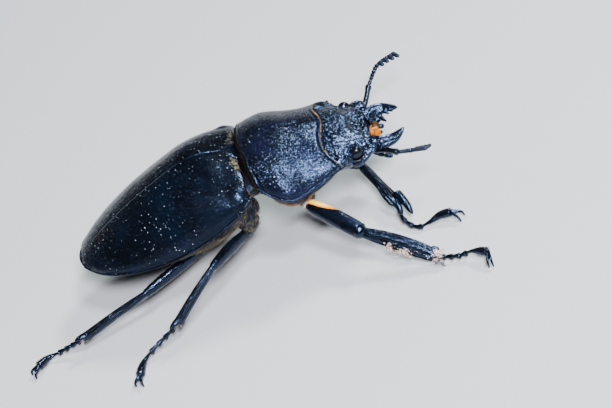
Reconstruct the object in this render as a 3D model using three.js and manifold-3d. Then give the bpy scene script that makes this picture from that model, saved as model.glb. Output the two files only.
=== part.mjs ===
// A female stag beetle, life size, standing on its six feet: the head with its short jaws, the
// prothorax, the two wing cases over the hind body, and six jointed legs, each part a closed solid.
//
// Body frame, millimetres: +X forwards, +Y to the animal's left, +Z up. The origin of the body frame is
// the middle of the prothorax's hind edge, level with its side margin. The finished group is pitched,
// lifted and centred, so that its own origin is the middle of its footprint, on the floor.
import * as THREE from 'three';
import { mergeVertices } from 'three/addons/utils/BufferGeometryUtils.js';
import Module from 'manifold-3d';

const wasm = await Module();
wasm.setup();

// ---------------------------------------------------------------- driving dimensions
const GAP = 0.07; // clearance between neighbouring solids
const FLOOR = { height: -8.98, slope: -0.052 }; // the floor under the body frame, as z = height + slope * x
const ELYTRA = {
  start: -0.9, length: 20.4, halfWidth: 7.35, widest: 5.6, shoulder: 6.8, rounding: 0.45,
  rise: 5.45, baseRise: 1.75, crest: 6.4, wall: 0.6, thoraxEnd: 7.9,
};
const PRONOTUM = { length: 7.9, frontAngle: 1.4, frontLobe: 0.72, hindAngle: 0.35 };
const HEAD = { start: 7.2, end: 13.4 };

// Half width or height over a length, as [place, value] stations.
const elytraMargin = profile([0, 1.5], [2, 0.7], [5, -0.3], [9, -1.15], [13, -1.5], [17, -1.6], [20.4, -1.5]);
const bellyDepth = profile([0, 2.3], [1.5, 3.7], [5, 4.1], [9, 3.2], [14, 2.5], [18, 1.5], [20.4, 0.8]);
const pronotumHalfWidth = profile([0, 5.55], [0.1, 6.3], [0.32, 7.25], [0.6, 6.5], [0.85, 5.95], [1, 5.7]);
const pronotumRise = profile([0, 2.85], [0.15, 3.95], [0.45, 4.35], [0.75, 3.6], [1, 2.35]);
const pronotumMargin = profile([0, 1.6], [0.15, 0.5], [0.4, -0.3], [0.7, -0.3], [1, 0.2]);
const pronotumBelly = profile([0, 2.85], [0.3, 3.05], [0.6, 2.95], [1, 2.3]);
const headHalfWidth = profile([7.2, 3.9], [8.5, 4.4], [9.7, 4.6], [10.6, 4.25], [11.6, 4.0], [12.5, 3.3], [13.4, 2.2]);
const headTop = profile([7.2, 2.0], [8.6, 1.95], [10, 1.6], [11.6, 0.8], [12.6, 0.1], [13.4, -0.5]);
const headMargin = profile([7.2, 0], [9, -0.1], [11, -0.4], [13.4, -0.95]);
const headBottom = profile([7.2, -2.3], [10, -2.6], [12, -2.5], [13.4, -1.7]);

// The right-hand parts of the head; the left-hand ones are their mirror images.
const EYE = { centre: V(11.0, -3.98, -0.25), size: [0.8, 0.68, 0.98] };
const CANTHUS = { centre: V(11.95, -3.75, -0.4), size: [1.1, 0.85, 0.4] };
const MANDIBLE = {
  path: [V(12.5, -2.0, -1.25), V(13.6, -2.7, -1.2), V(14.8, -2.78, -1.25), V(15.8, -2.25, -1.25), V(16.4, -1.75, -1.15)],
  width: profile([0, 0.95], [0.35, 0.78], [0.65, 0.55], [0.85, 0.32], [1, 0.14]),
  depth: profile([0, 0.85], [0.35, 0.72], [0.65, 0.5], [0.85, 0.3], [1, 0.14]),
  tooth: [V(14.4, -2.5, -1.3), V(15.15, -1.5, -1.6)],
};
const PALP = [V(12.3, -2.2, -2.2), V(13.0, -2.45, -2.8), V(13.6, -2.6, -3.15), V(14.15, -2.65, -3.35)];
const LABIAL_PALP = [V(12.9, -0.7, -2.0), V(13.4, -0.9, -2.6), V(13.8, -1.2, -2.9)];
const LABRUM = { centre: V(13.5, 0, -1.15), size: [0.75, 1.3, 0.5] };

// The two feelers are held differently. Each bends at the elbow, and its last half is the comb.
const FEELERS = {
  right: { root: V(12.3, -3.0, -1.45), elbow: V(15.1, -5.8, -0.8), middle: V(16.64, -7.0, -0.35),
    tip: V(18.3, -8.2, 0.1), comb: V(0.5, 0.62, -0.6) },
  left: { root: V(12.3, 3.0, -1.45), elbow: V(14.15, 7.2, -0.96), middle: V(15.8, 8.9, -0.2),
    tip: V(18.0, 10.0, -0.35), comb: V(0.5, -0.85, 0) },
};
const CLUB_START = 0.5;
const LAMELLAE = 4;

// Where each leg's joints stand: coxa in the body, hip, knee, ankle, the bends of the foot, the pad
// that carries the claws, and the place on the floor where the claws stand. outer is the toothed side.
const LEGS = {
  front_right: {
    coxa: V(3.9, -2.3, -3.0), hip: V(3.85, -4.4, -3.3), knee: V(8.35, -9.75, -5.5), ankle: V(14.72, -14.1, -8.85),
    foot: [V(15.95, -14.4, -9.2), V(16.9, -14.93, -9.1), V(18.4, -15.5, -8.8)], pad: V(19.45, -16.45, -8.8),
    toe: [19.55, -17.25], outer: V(0.39, 0.61, 0.69),
  },
  front_left: {
    coxa: V(3.9, 2.3, -3.0), hip: V(4.1, 3.9, -3.5), knee: V(9.9, 2.3, -6.36), ankle: V(12.75, -5.9, -8.3),
    foot: [V(13.2, -7.1, -9.1), V(14.0, -7.85, -9.25), V(15.5, -7.85, -9.15)], pad: V(17.5, -8.3, -8.9),
    toe: [18.3, -8.7], outer: V(0.92, 0.33, 0.22),
  },
  middle_right: {
    coxa: V(-2.7, -1.9, -3.9), hip: V(-3.2, -3.7, -4.3), knee: V(-7.34, -8.54, -3.0), ankle: V(-13.2, -11.35, -6.0),
    foot: [V(-15.5, -11.85, -6.8), V(-17.0, -12.55, -7.1), V(-17.9, -13.6, -7.2)], pad: V(-18.35, -15.2, -7.1),
    toe: [-18.75, -15.9], outer: V(-0.3, -0.5, 0.8),
  },
  middle_left: {
    coxa: V(-2.7, 1.9, -3.9), hip: V(-3.2, 3.7, -4.3), knee: V(-5.2, 9.9, -1.9), ankle: V(-6.3, 13.9, -7.2),
    foot: [V(-7.2, 15.2, -7.85), V(-8.2, 16.0, -7.9), V(-9.2, 16.4, -7.75)], pad: V(-10.4, 16.8, -7.5),
    toe: [-11.2, 17.1], outer: V(-0.4, 0.6, 0.7),
  },
  hind_right: {
    coxa: V(-8.2, -2.3, -3.8), hip: V(-8.9, -3.3, -4.6), knee: V(-15.6, -6.7, -4.3), ankle: V(-23.8, -7.45, -6.0),
    foot: [V(-25.75, -7.05, -6.6), V(-27.1, -6.95, -6.85), V(-28.3, -7.1, -6.85)], pad: V(-29.4, -8.15, -6.5),
    toe: [-30.2, -8.6], outer: V(0, -0.4, 0.9),
  },
  hind_left: {
    coxa: V(-8.2, 2.3, -3.8), hip: V(-8.9, 3.3, -4.6), knee: V(-11.4, 9.6, -2.2), ankle: V(-14.8, 12.8, -7.0),
    foot: [V(-16.3, 12.7, -7.5), V(-17.5, 12.3, -7.6), V(-18.6, 11.7, -7.5)], pad: V(-19.8, 10.9, -7.15),
    toe: [-20.55, 10.5], outer: V(-0.4, 0.6, 0.7),
  },
};
const slender = {
  coxa: [1.22, 1.02], femur: profile([0, 0.5], [0.15, 0.62], [0.5, 0.76], [0.85, 0.66], [1, 0.56]),
  femurFlat: 0.8, tibia: profile([0, 0.42], [0.4, 0.5], [1, 0.58]), tibiaFlat: 0.8,
};
const LEG_SIZES = {
  front: {
    coxa: [1.35, 1.15], femur: profile([0, 0.5], [0.15, 0.72], [0.5, 0.9], [0.8, 0.9], [1, 0.8]),
    femurFlat: 0.8, tibia: profile([0, 0.6], [0.15, 0.7], [0.5, 0.78], [0.8, 0.84], [1, 0.86]), tibiaFlat: 0.64,
    teeth: [[0.48, 0.18], [0.62, 0.22], [0.76, 0.28], [0.9, 0.36]], prong: 1.3,
  },
  middle: { ...slender, teeth: [[0.55, 0.3]], prong: 0.75 },
  hind: { ...slender, teeth: [[0.5, 0.28]], prong: 0.75 },
};
const TARSUS = { joint: 0.14, neck: 0.25, knob: 0.34, lastKnob: 0.38 };

const MATERIALS = {
  shell: new THREE.MeshStandardMaterial({ name: 'shell', color: 0x0e1015, roughness: 0.35 }),
  leg: new THREE.MeshStandardMaterial({ name: 'leg', color: 0x0c0d10, roughness: 0.25 }),
  belly: new THREE.MeshStandardMaterial({ name: 'belly', color: 0x1c1511, roughness: 0.5 }),
  eye: new THREE.MeshStandardMaterial({ name: 'eye', color: 0x120c0c, roughness: 0.12 }),
  feeler: new THREE.MeshStandardMaterial({ name: 'feeler', color: 0x15161a, roughness: 0.4 }),
  lip: new THREE.MeshStandardMaterial({ name: 'lip', color: 0x8a4a12, roughness: 0.6 }),
};

// ---------------------------------------------------------------- small maths
function V(x, y, z) {
  return new THREE.Vector3(x, y, z);
}

const UP = V(0, 0, 1);
const lerp = THREE.MathUtils.lerp;
const clamp01 = t => THREE.MathUtils.clamp(t, 0, 1);
const signedPower = (x, p) => Math.sign(x) * Math.abs(x) ** p;
const mirrored = p => V(p.x, -p.y, p.z);
const floorAt = x => FLOOR.height + FLOOR.slope * x;
const even = (steps, from = 0, to = 1) => Array.from({ length: steps + 1 }, (_, i) => lerp(from, to, i / steps));
const around = (count, make) => Array.from({ length: count }, (_, k) => make(2 * Math.PI * k / count));

// A smooth function through a few [place, value] stations, in rising order of place.
function profile(...stations) {
  const last = stations.length - 1;
  const slope = i => {
    const a = stations[Math.max(i - 1, 0)];
    const b = stations[Math.min(i + 1, last)];
    return (b[1] - a[1]) / (b[0] - a[0]);
  };
  return t => {
    if (t <= stations[0][0]) return stations[0][1];
    if (t >= stations[last][0]) return stations[last][1];
    let i = 0;
    while (t > stations[i + 1][0]) i++;
    const [x0, y0] = stations[i];
    const [x1, y1] = stations[i + 1];
    const h = x1 - x0;
    const s = (t - x0) / h;
    return y0 + (y1 - y0) * s * s * (3 - 2 * s)
      + h * s * (1 - s) * ((1 - s) * slope(i) - s * slope(i + 1));
  };
}

// ---------------------------------------------------------------- solids
// Any closed three.js geometry as a solid that can be cut and joined, whichever way its faces turn.
function solid(geometry) {
  geometry.deleteAttribute('normal');
  geometry.deleteAttribute('uv');
  const merged = mergeVertices(geometry, 1e-5);
  const vertProperties = merged.getAttribute('position').array;
  const triVerts = new Uint32Array(merged.index.array);
  const made = new wasm.Manifold(new wasm.Mesh({ numProp: 3, vertProperties, triVerts }));
  if (made.volume() >= 0) return made;
  for (let i = 0; i < triVerts.length; i += 3) {
    [triVerts[i + 1], triVerts[i + 2]] = [triVerts[i + 2], triVerts[i + 1]];
  }
  return new wasm.Manifold(new wasm.Mesh({ numProp: 3, vertProperties, triVerts }));
}

// A closed skin over rings of points: neighbouring rings are joined, and each end is closed by a fan.
function loft(rings) {
  const sides = rings[0].length;
  const position = rings.flat().flatMap(p => p.toArray());
  const index = [];
  for (let r = 0; r + 1 < rings.length; r++) {
    for (let i = 0; i < sides; i++) {
      const a = r * sides + i;
      const b = r * sides + (i + 1) % sides;
      index.push(a, b, b + sides, a, b + sides, a + sides);
    }
  }
  [0, rings.length - 1].forEach((r, end) => {
    const centre = rings[r].reduce((sum, p) => sum.add(p), V(0, 0, 0)).divideScalar(sides);
    const c = position.length / 3;
    position.push(...centre.toArray());
    for (let i = 0; i < sides; i++) {
      const a = r * sides + i;
      const b = r * sides + (i + 1) % sides;
      index.push(...(end ? [a, b, c] : [b, a, c]));
    }
  });
  const geometry = new THREE.BufferGeometry();
  geometry.setAttribute('position', new THREE.Float32BufferAttribute(position, 3));
  geometry.setIndex(index);
  return solid(geometry);
}

const line = (a, b) => new THREE.LineCurve3(a, b);
const bend = (...points) => new THREE.CatmullRomCurve3(points);

// A closed tube along a curve, with a ring of points at each place of 0 to 1. reach(t) gives its half
// width and half thickness, flat is the way its width points, and grow makes it larger all round, as
// the tool that cuts a clearance.
function limb(curve, flat, places, sides, reach, grow = 0) {
  return loft(places.map((t, i) => {
    const ahead = curve.getTangentAt(t);
    const wide = flat.clone().addScaledVector(ahead, -flat.dot(ahead)).normalize();
    const thick = ahead.clone().cross(wide);
    const [a, b = a] = [reach(t)].flat();
    const centre = curve.getPointAt(t).addScaledVector(ahead, grow * ((i === places.length - 1) - (i === 0)));
    return around(sides, turn => centre.clone()
      .addScaledVector(wide, (a + grow) * Math.cos(turn + Math.PI / sides))
      .addScaledVector(thick, (b + grow) * Math.sin(turn + Math.PI / sides)));
  }));
}

// A thorn from a surface out to its tip.
function thorn(base, tip, radius, point = 0.1) {
  return limb(line(base, tip), V(0.3, 0.2, 1), [0, 1], 4, t => lerp(radius, point, t));
}

function ball({ centre, size }, grow = 0, sides = 12, down = 8) {
  return solid(new THREE.SphereGeometry(1, sides, down).scale(...size.map(r => r + grow))
    .translate(...centre.toArray()));
}

function block(x0, x1, y0, y1, z0, z1) {
  return solid(new THREE.BoxGeometry(x1 - x0, y1 - y0, z1 - z0)
    .translate((x0 + x1) / 2, (y0 + y1) / 2, (z0 + z1) / 2));
}

const join = solids => wasm.Manifold.union(solids);

// ---------------------------------------------------------------- the group
const beetle = new THREE.Group();
beetle.rotation.y = Math.atan(FLOOR.slope);
beetle.position.z = -FLOOR.height * Math.cos(beetle.rotation.y);
beetle.updateMatrixWorld(true);

// A named mesh of the one body that the cuts leave, without loose crumbs.
function put(name, made, material) {
  const body = made.decompose().reduce((a, b) => (b.volume() > a.volume() ? b : a));
  const cut = body.getMesh();
  const geometry = new THREE.BufferGeometry();
  geometry.setAttribute('position', new THREE.BufferAttribute(new Float32Array(cut.vertProperties), 3));
  geometry.setIndex(new THREE.BufferAttribute(new Uint32Array(cut.triVerts), 1));
  const mesh = new THREE.Mesh(geometry, material);
  mesh.name = name;
  beetle.add(mesh);
}

// ---------------------------------------------------------------- wing cases and hind body
// Half width and rise over the margin, s millimetres behind the wing cases' front edge.
function elytraHalfWidth(s) {
  const E = ELYTRA;
  if (s >= E.widest) return E.halfWidth * (1 - ((s - E.widest) / (E.length - E.widest)) ** 2.3) ** 0.5;
  const toShoulder = (E.halfWidth - E.shoulder) * ((E.widest - s) / E.widest) ** 2;
  return E.halfWidth - toShoulder - E.rounding * clamp01(1 - s / 1.4) ** 2;
}

function elytraRise(s) {
  const E = ELYTRA;
  if (s >= E.crest) return E.rise * (1 - ((s - E.crest) / (E.length - E.crest)) ** 1.65) ** 0.85;
  return E.rise - (E.rise - E.baseRise) * ((E.crest - s) / E.crest) ** 2;
}

// The dome of the wing cases' outer face, or, inset all round, the hollow under them.
function dome(inset, sides, steps) {
  const reach = inset ? 2 : 0; // the hollow runs out through the front and the underside
  return loft(Array.from({ length: steps }, (_, i) => {
    const s = (ELYTRA.length - inset) * (1 - (1 - i / (steps - 0.6)) ** 1.9);
    const x = ELYTRA.start - s + (i ? 0 : reach);
    const w = Math.max(elytraHalfWidth(s) - inset, 0.1);
    const h = Math.max(elytraRise(s) - inset, 0.1);
    const arch = even(sides).map(t => V(x, w * Math.cos(Math.PI * t), elytraMargin(s) + h * Math.sin(Math.PI * t)));
    const skirt = [V(x, -w, elytraMargin(s) - reach), V(x, w, elytraMargin(s) - reach)];
    return inset ? [...arch, ...skirt] : arch;
  }));
}

// The small triangle of the scutellum, as an upright prism.
function scutellumPrism(grow) {
  const outline = new THREE.Shape();
  outline.moveTo(-0.35 + grow, -1.15 - grow);
  outline.lineTo(-0.35 + grow, 1.15 + grow);
  outline.quadraticCurveTo(-1.7, 0.75 + grow, -2.3 - 1.6 * grow, 0);
  outline.quadraticCurveTo(-1.7, -0.75 - grow, -0.35 + grow, -1.15 - grow);
  return solid(new THREE.ExtrudeGeometry(outline, { depth: 6, bevelEnabled: false, curveSegments: 3 })
    .translate(0, 0, 2.6));
}

// The trunk under the wing cases, between two distances behind their front edge.
function trunk(from, to, steps, sides = 16) {
  const inset = ELYTRA.wall + 0.4;
  return loft(even(steps, from, to).map(s => {
    const neck = 1 - 0.3 * clamp01(1 - s / 1.4) ** 2;
    const w = Math.max(elytraHalfWidth(s) - inset, 0.5) * neck;
    const rise = Math.max(elytraRise(s) - inset, 0.3) * neck;
    return around(sides, turn => {
      const above = Math.sin(turn) > 0;
      return V(ELYTRA.start - s, w * signedPower(Math.cos(turn), above ? 1 : 0.92),
        elytraMargin(s) + (above ? rise * Math.sin(turn) : -bellyDepth(s) * (-Math.sin(turn)) ** 0.85));
    });
  }));
}

// ---------------------------------------------------------------- prothorax and head
function prothorax(grow = 0, sides = 22, steps = 8) {
  return loft(even(steps).map((u, i) => {
    const push = grow * ((i === steps) - (i === 0));
    return around(sides, turn => {
      const above = Math.sin(turn) >= 0;
      const across = signedPower(Math.cos(turn), above ? 1 : 1.35);
      const hind = PRONOTUM.hindAngle * across ** 2;
      const front = PRONOTUM.length + PRONOTUM.frontAngle * Math.abs(across) ** 6
        + PRONOTUM.frontLobe * Math.exp(-((across / 0.35) ** 2));
      const rise = (above ? pronotumRise(u) : pronotumBelly(u)) + grow;
      return V(lerp(hind, front, u) + push, across * (pronotumHalfWidth(u) + grow),
        pronotumMargin(u) + rise * signedPower(Math.sin(turn), above ? 1 : 0.7));
    });
  }));
}

function headCapsule(grow = 0, sides = 18, steps = 8) {
  return loft(even(steps, HEAD.start, HEAD.end).map((x, i) => around(sides, turn => {
    const up = signedPower(Math.sin(turn), 0.85);
    const reach = Math.abs((up > 0 ? headTop(x) : headBottom(x)) - headMargin(x)) + grow;
    return V(x + (i === steps ? grow : 0), (headHalfWidth(x) + grow) * signedPower(Math.cos(turn), 0.85),
      headMargin(x) + up * reach);
  })));
}

// ---------------------------------------------------------------- feelers
function feeler(side, { root, elbow, middle, tip, comb }, socket) {
  const stalk = bend(root, root.clone().lerp(elbow, 0.5).add(V(0.15, 0, 0.12)), elbow);
  const scape = grow => limb(stalk, UP, even(4), 6, t => lerp(0.25, 0.36, t), grow);
  const lash = bend(elbow, middle, tip);
  const beads = [0, 0.09, 0.12, 0.21, 0.24, 0.33, 0.36, CLUB_START - 0.02];
  const funicle = limb(lash, comb, beads, 6, t => (beads.indexOf(t) % 2 ? 0.3 : 0.25));
  const plates = even(LAMELLAE - 1, CLUB_START + 0.07, 0.95).map((t, k) => {
    const base = lash.getPointAt(t);
    const reach = comb.clone().setLength(lerp(0.8, 1.1, k / (LAMELLAE - 1)));
    return limb(line(base, base.clone().add(reach)), lash.getTangentAt(t), [0, 1], 5, u => [lerp(0.26, 0.18, u), 0.27]);
  });
  const core = limb(lash, comb, even(2, CLUB_START, 1), 6, () => [0.26, 0.28]);
  put(`antenna_scape_${side}`, scape(0).subtract(socket), MATERIALS.feeler);
  put(`antenna_funicle_${side}`, funicle.subtract(scape(GAP)), MATERIALS.feeler);
  put(`antenna_club_${side}`, join([core, ...plates]), MATERIALS.feeler);
}

// ---------------------------------------------------------------- legs
const footJoints = even(3, 0, 3 * TARSUS.joint).flatMap(t => [t, t + 0.8 * TARSUS.joint]);
const footPlaces = [...footJoints, 4 * TARSUS.joint, 0.8, 1];

// Half thickness of a foot along its length: four short cup-shaped joints and a long last one.
function footReach(t) {
  const { joint, neck, knob, lastKnob } = TARSUS;
  if (t < 3.9 * joint) return footJoints.indexOf(t) % 2 ? knob : neck;
  return lerp(neck, lastKnob, clamp01((t - 0.56) / 0.35));
}

// Puts the parts of one leg, and gives the tool that clears its coxa and thigh in the body.
function leg(name, place, size) {
  const { coxa, hip, knee, ankle, foot, pad, outer } = place;
  const toe = V(...place.toe, floorAt(place.toe[0]));
  const basePart = grow => limb(line(coxa, hip), UP, even(3), 8,
    t => size.coxa.map(r => r * Math.sin(Math.PI * lerp(0.28, 0.86, t))), grow);
  const thigh = grow => limb(bend(hip, hip.clone().lerp(knee, 0.5).add(V(0, 0, 0.1)), knee), outer,
    [0, 0.15, 0.5, 0.85, 1], 8, t => [size.femur(t), size.femur(t) * size.femurFlat], grow);
  const shin = grow => limb(bend(knee, knee.clone().lerp(ankle, 0.5).addScaledVector(outer, 0.15), ankle),
    outer, even(5), 8, t => [size.tibia(t), size.tibia(t) * size.tibiaFlat], grow);
  const sole = grow => limb(bend(ankle, ...foot, pad), UP, footPlaces, 6, footReach, grow);

  const ahead = ankle.clone().sub(knee).normalize();
  const edge = (t, out, forward) => knee.clone().lerp(ankle, t)
    .addScaledVector(outer, size.tibia(t) + out).addScaledVector(ahead, forward);
  const spines = size.teeth.map(([t, out]) => thorn(edge(t, -0.35, -0.2), edge(t, out, 0.7 * out), 0.34));
  spines.push(thorn(edge(1, -0.45, -0.8), edge(1, 0.1, size.prong), 0.42, 0.15));
  spines.push(thorn(edge(1, -1.3, -0.6), edge(1, -1.5, 0.6), 0.3));

  const walk = toe.clone().sub(pad).setZ(0).normalize();
  const sideways = walk.clone().cross(UP);
  const hooks = [-1, 1].map(sign => limb(bend(
    pad.clone().addScaledVector(walk, -0.1),
    pad.clone().lerp(toe, 0.45).addScaledVector(walk, 0.35).addScaledVector(sideways, 0.42 * sign).add(V(0, 0, 0.12)),
    toe.clone().addScaledVector(sideways, 0.5 * sign).add(V(0, 0, -0.1)),
  ), sideways, even(3), 5, t => [lerp(0.27, 0.15, t), lerp(0.3, 0.17, t)]));

  put(`leg_${name}_coxa`, basePart(0), MATERIALS.leg);
  put(`leg_${name}_femur`, thigh(0).subtract(basePart(GAP)), MATERIALS.leg);
  put(`leg_${name}_tibia`, join([shin(0), ...spines]).subtract(thigh(GAP)), MATERIALS.leg);
  put(`leg_${name}_tarsus`, sole(0).subtract(shin(GAP)).subtract(join(spines)), MATERIALS.leg);
  put(`leg_${name}_claws`, join(hooks).subtract(sole(GAP)).subtract(underFloor), MATERIALS.leg);
  return basePart(GAP).add(thigh(GAP));
}

// ---------------------------------------------------------------- assembly
const underFloor = solid(new THREE.BoxGeometry(120, 80, 10).translate(0, 0, -5)
  .applyMatrix4(beetle.matrixWorld.clone().invert()));
const hips = Object.entries(LEGS).map(([name, place]) => [name, leg(name, place, LEG_SIZES[name.split('_')[0]])]);
const hipsOf = row => join(hips.filter(([name]) => name.startsWith(row)).map(([, made]) => made));

put('prothorax', prothorax().subtract(hipsOf('front')), MATERIALS.shell);
put('pterothorax', trunk(-0.75, ELYTRA.thoraxEnd, 5).subtract(prothorax(GAP)).subtract(hipsOf('middle'))
  .subtract(hipsOf('hind')).subtract(scutellumPrism(GAP))
  .intersect(block(-30, PRONOTUM.hindAngle, -12, 12, -12, 12)), MATERIALS.belly);
put('abdomen', trunk(ELYTRA.thoraxEnd + GAP, ELYTRA.length - 0.9, 7).subtract(hipsOf('hind')), MATERIALS.belly);

const cases = dome(0, 16, 12).subtract(dome(ELYTRA.wall, 12, 8)).subtract(prothorax(GAP));
const sheath = cases.subtract(scutellumPrism(GAP));
put('scutellum', cases.intersect(scutellumPrism(0)), MATERIALS.shell);
put('elytron_right', sheath.subtract(block(-40, 10, -GAP / 2, 20, -20, 20)), MATERIALS.shell);
put('elytron_left', sheath.subtract(block(-40, 10, -20, GAP / 2, -20, 20)), MATERIALS.shell);

const brow = turn => ball({ ...CANTHUS, centre: turn(CANTHUS.centre) }, 0, 8, 6);
const eyeball = (turn, grow) => ball({ ...EYE, centre: turn(EYE.centre) }, grow, 10, 6);
const nearHead = headCapsule(GAP);
put('labrum', ball(LABRUM, 0, 12, 6).subtract(nearHead), MATERIALS.lip);
[['right', p => p], ['left', mirrored]].forEach(([side, turn]) => {
  const jaw = grow => limb(bend(...MANDIBLE.path.map(turn)), V(0, 1, 0), even(6), 8,
    t => [MANDIBLE.width(t), MANDIBLE.depth(t)], grow);
  const palp = limb(bend(...PALP.map(turn)), UP, even(5), 6, t => 0.25 + 0.05 * Math.sin(7 * t) ** 2);
  const lowerPalp = limb(bend(...LABIAL_PALP.map(turn)), UP, even(3), 6, () => 0.26);
  const tooth = thorn(...MANDIBLE.tooth.map(turn), 0.45, 0.14);
  put(`mandible_${side}`, jaw(0).add(tooth).subtract(nearHead), MATERIALS.leg);
  put(`palp_${side}`, palp.subtract(nearHead), MATERIALS.feeler);
  put(`labial_palp_${side}`, lowerPalp.subtract(nearHead), MATERIALS.feeler);
  put(`eye_${side}`, eyeball(turn, 0), MATERIALS.eye);
  feeler(side, FEELERS[side], join([nearHead, brow(turn), jaw(GAP)]));
});
put('head', join([headCapsule(), brow(p => p), brow(mirrored)]).subtract(prothorax(GAP))
  .subtract(join([eyeball(p => p, GAP), eyeball(mirrored, GAP)])), MATERIALS.shell);

const box = new THREE.Box3().setFromObject(beetle, true);
beetle.position.x -= (box.min.x + box.max.x) / 2;
beetle.position.y -= (box.min.y + box.max.y) / 2;

export default beetle;
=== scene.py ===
"""A female stag beetle as a still, life-size model: horn plates, eyes, jaws, feelers, legs and hair.

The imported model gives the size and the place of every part. Shapes are worked out in the body frame, in
millimetres (+X forwards, +Y to the animal's left, +Z up, from the middle of the prothorax's hind edge),
and each piece is laid into the row frame, in metres, as it is made.
"""

import math

import bpy
import numpy as np
from mathutils import Matrix, Vector
from mathutils.noise import noise, voronoi


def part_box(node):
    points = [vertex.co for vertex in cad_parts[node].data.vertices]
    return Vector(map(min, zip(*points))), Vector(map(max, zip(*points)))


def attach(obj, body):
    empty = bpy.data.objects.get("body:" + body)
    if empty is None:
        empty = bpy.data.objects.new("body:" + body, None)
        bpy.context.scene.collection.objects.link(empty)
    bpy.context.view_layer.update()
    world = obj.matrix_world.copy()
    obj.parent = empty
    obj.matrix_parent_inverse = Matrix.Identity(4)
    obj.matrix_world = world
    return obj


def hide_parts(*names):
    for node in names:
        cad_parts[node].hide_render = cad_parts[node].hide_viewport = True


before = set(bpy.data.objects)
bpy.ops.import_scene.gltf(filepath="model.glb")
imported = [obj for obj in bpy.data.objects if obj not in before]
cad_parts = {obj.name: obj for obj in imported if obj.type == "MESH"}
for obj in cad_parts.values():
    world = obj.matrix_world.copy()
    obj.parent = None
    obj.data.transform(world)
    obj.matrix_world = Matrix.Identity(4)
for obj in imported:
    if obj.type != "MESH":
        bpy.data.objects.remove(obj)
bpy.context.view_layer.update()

bl_info = {
    "name": "Stag Beetle",
    "version": (1, 0, 0),
    "blender": (4, 5, 0),
    "location": "3D View > Sidebar > Stag Beetle",
    "description": "Builds a life-size female stag beetle round its packed solids",
    "category": "Add Mesh",
}

# ---------------------------------------------------------------- sizes of the body, in millimetres
MM = 0.001
FLOOR_HEIGHT = -8.98  # of the floor under the body frame's origin
FLOOR_SLOPE = -0.052  # of the floor in the body frame, for each millimetre along +X
BOXY = 0.85  # the power that makes a round section a little boxy
BEAD_ARC = (math.radians(60), math.radians(-110))  # from the top of a side bead round to its underside
RANDOM_SEED = 20

# start is where the wing cases begin, and widest, crest and thorax_end are distances behind that. inset is
# how far the trunk stays inside them, and middle is a point inside the left one.
WING = {
    "start": -0.9, "length": 20.4, "half_width": 7.35, "widest": 5.6, "shoulder": 6.8, "rounding": 0.45,
    "rise": 5.45, "base_rise": 1.75, "crest": 6.4, "thorax_end": 7.9, "inset": 1.0, "bead": 0.13,
    "ridges": 9, "middle": (-9, 3, -2),
}
PRONOTUM = {
    "length": 7.9, "front_angle": 1.4, "front_lobe": 0.72, "hind_angle": 0.35, "slope": 1.25, "bead": 0.12,
    "middle": (4, 0, -1.5),
}
SCUTELLUM = {"front": -0.35, "length": 1.95, "half_width": 1.15, "thickness": 0.3}
EYE = {"centre": (11.0, -3.98, -0.25), "size": (0.8, 0.68, 0.98)}
EYE_SHARE = 0.93  # how much of the eye's socket the eye itself fills
# The canthus is the ledge of horn that runs over the front half of the eye.
CANTHUS = {"centre": (12.05, -3.8, -0.42), "size": (1.15, 0.9, 0.46)}
CANTHUS_RIM = [(12.7, -3.3, -0.4), (12.45, -4.15, -0.5), (11.6, -4.72, -0.75), (10.75, -4.8, -1.0),
               (10.15, -4.45, -1.1)]
HEAD_LUMPS = [  # on each side of the head: centre and size
    ((12.85, -2.7, -0.6), (0.62, 0.8, 0.42)),  # over the jaw's root
    ((9.9, -4.0, -0.35), (0.85, 0.62, 0.95)),  # behind the eye
    ((9.0, -4.6, 0.1), (1.1, 0.85, 0.9)),  # the temple
    ((8.0, -4.5, 0.35), (1.1, 0.9, 1.0)),  # the temple's hind end
]
HEAD_MIDDLE_LUMPS = [
    ((12.45, 0, -0.7), (0.5, 1.6, 0.3)),  # the front edge over the lip
    ((12.2, 0, -2.3), (1.1, 1.5, 0.45)),  # the chin
]
JAW_PATH = [(12.5, -2.0, -1.25), (13.6, -2.7, -1.2), (14.8, -2.78, -1.25), (15.8, -2.25, -1.25),
            (16.4, -1.75, -1.15)]
JAW_TEETH = [  # base, tip and radius
    ((14.0, -2.3, -1.5), (14.75, -1.15, -1.85), 0.5),
    ((14.9, -2.2, -1.3), (15.3, -1.65, -1.45), 0.26),
    ((15.4, -2.1, -1.25), (15.75, -1.65, -1.3), 0.2),
]
JAW_ROOT = {"centre": (13.4, -1.95, -1.7), "size": (0.85, 0.8, 0.42)}  # the broad root on the inner side
PALP_PATH = [(12.3, -2.2, -2.2), (13.0, -2.45, -2.8), (13.6, -2.6, -3.15), (14.15, -2.65, -3.35)]
LABIAL_PALP_PATH = [(12.9, -0.7, -2.0), (13.4, -0.9, -2.6), (13.8, -1.2, -2.9)]

FEELERS = {
    "right": {"root": (12.3, -3.0, -1.45), "elbow": (15.1, -5.8, -0.8), "middle": (16.64, -7.0, -0.35),
              "tip": (18.0, -8.1, 0.05), "comb": (0.62, 0.66, -0.36)},
    "left": {"root": (12.3, 3.0, -1.45), "elbow": (14.15, 7.2, -0.96), "middle": (15.8, 8.9, -0.2),
             "tip": (18.0, 10.0, -0.35), "comb": (0.5, -0.85, 0.0)},
}

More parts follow.
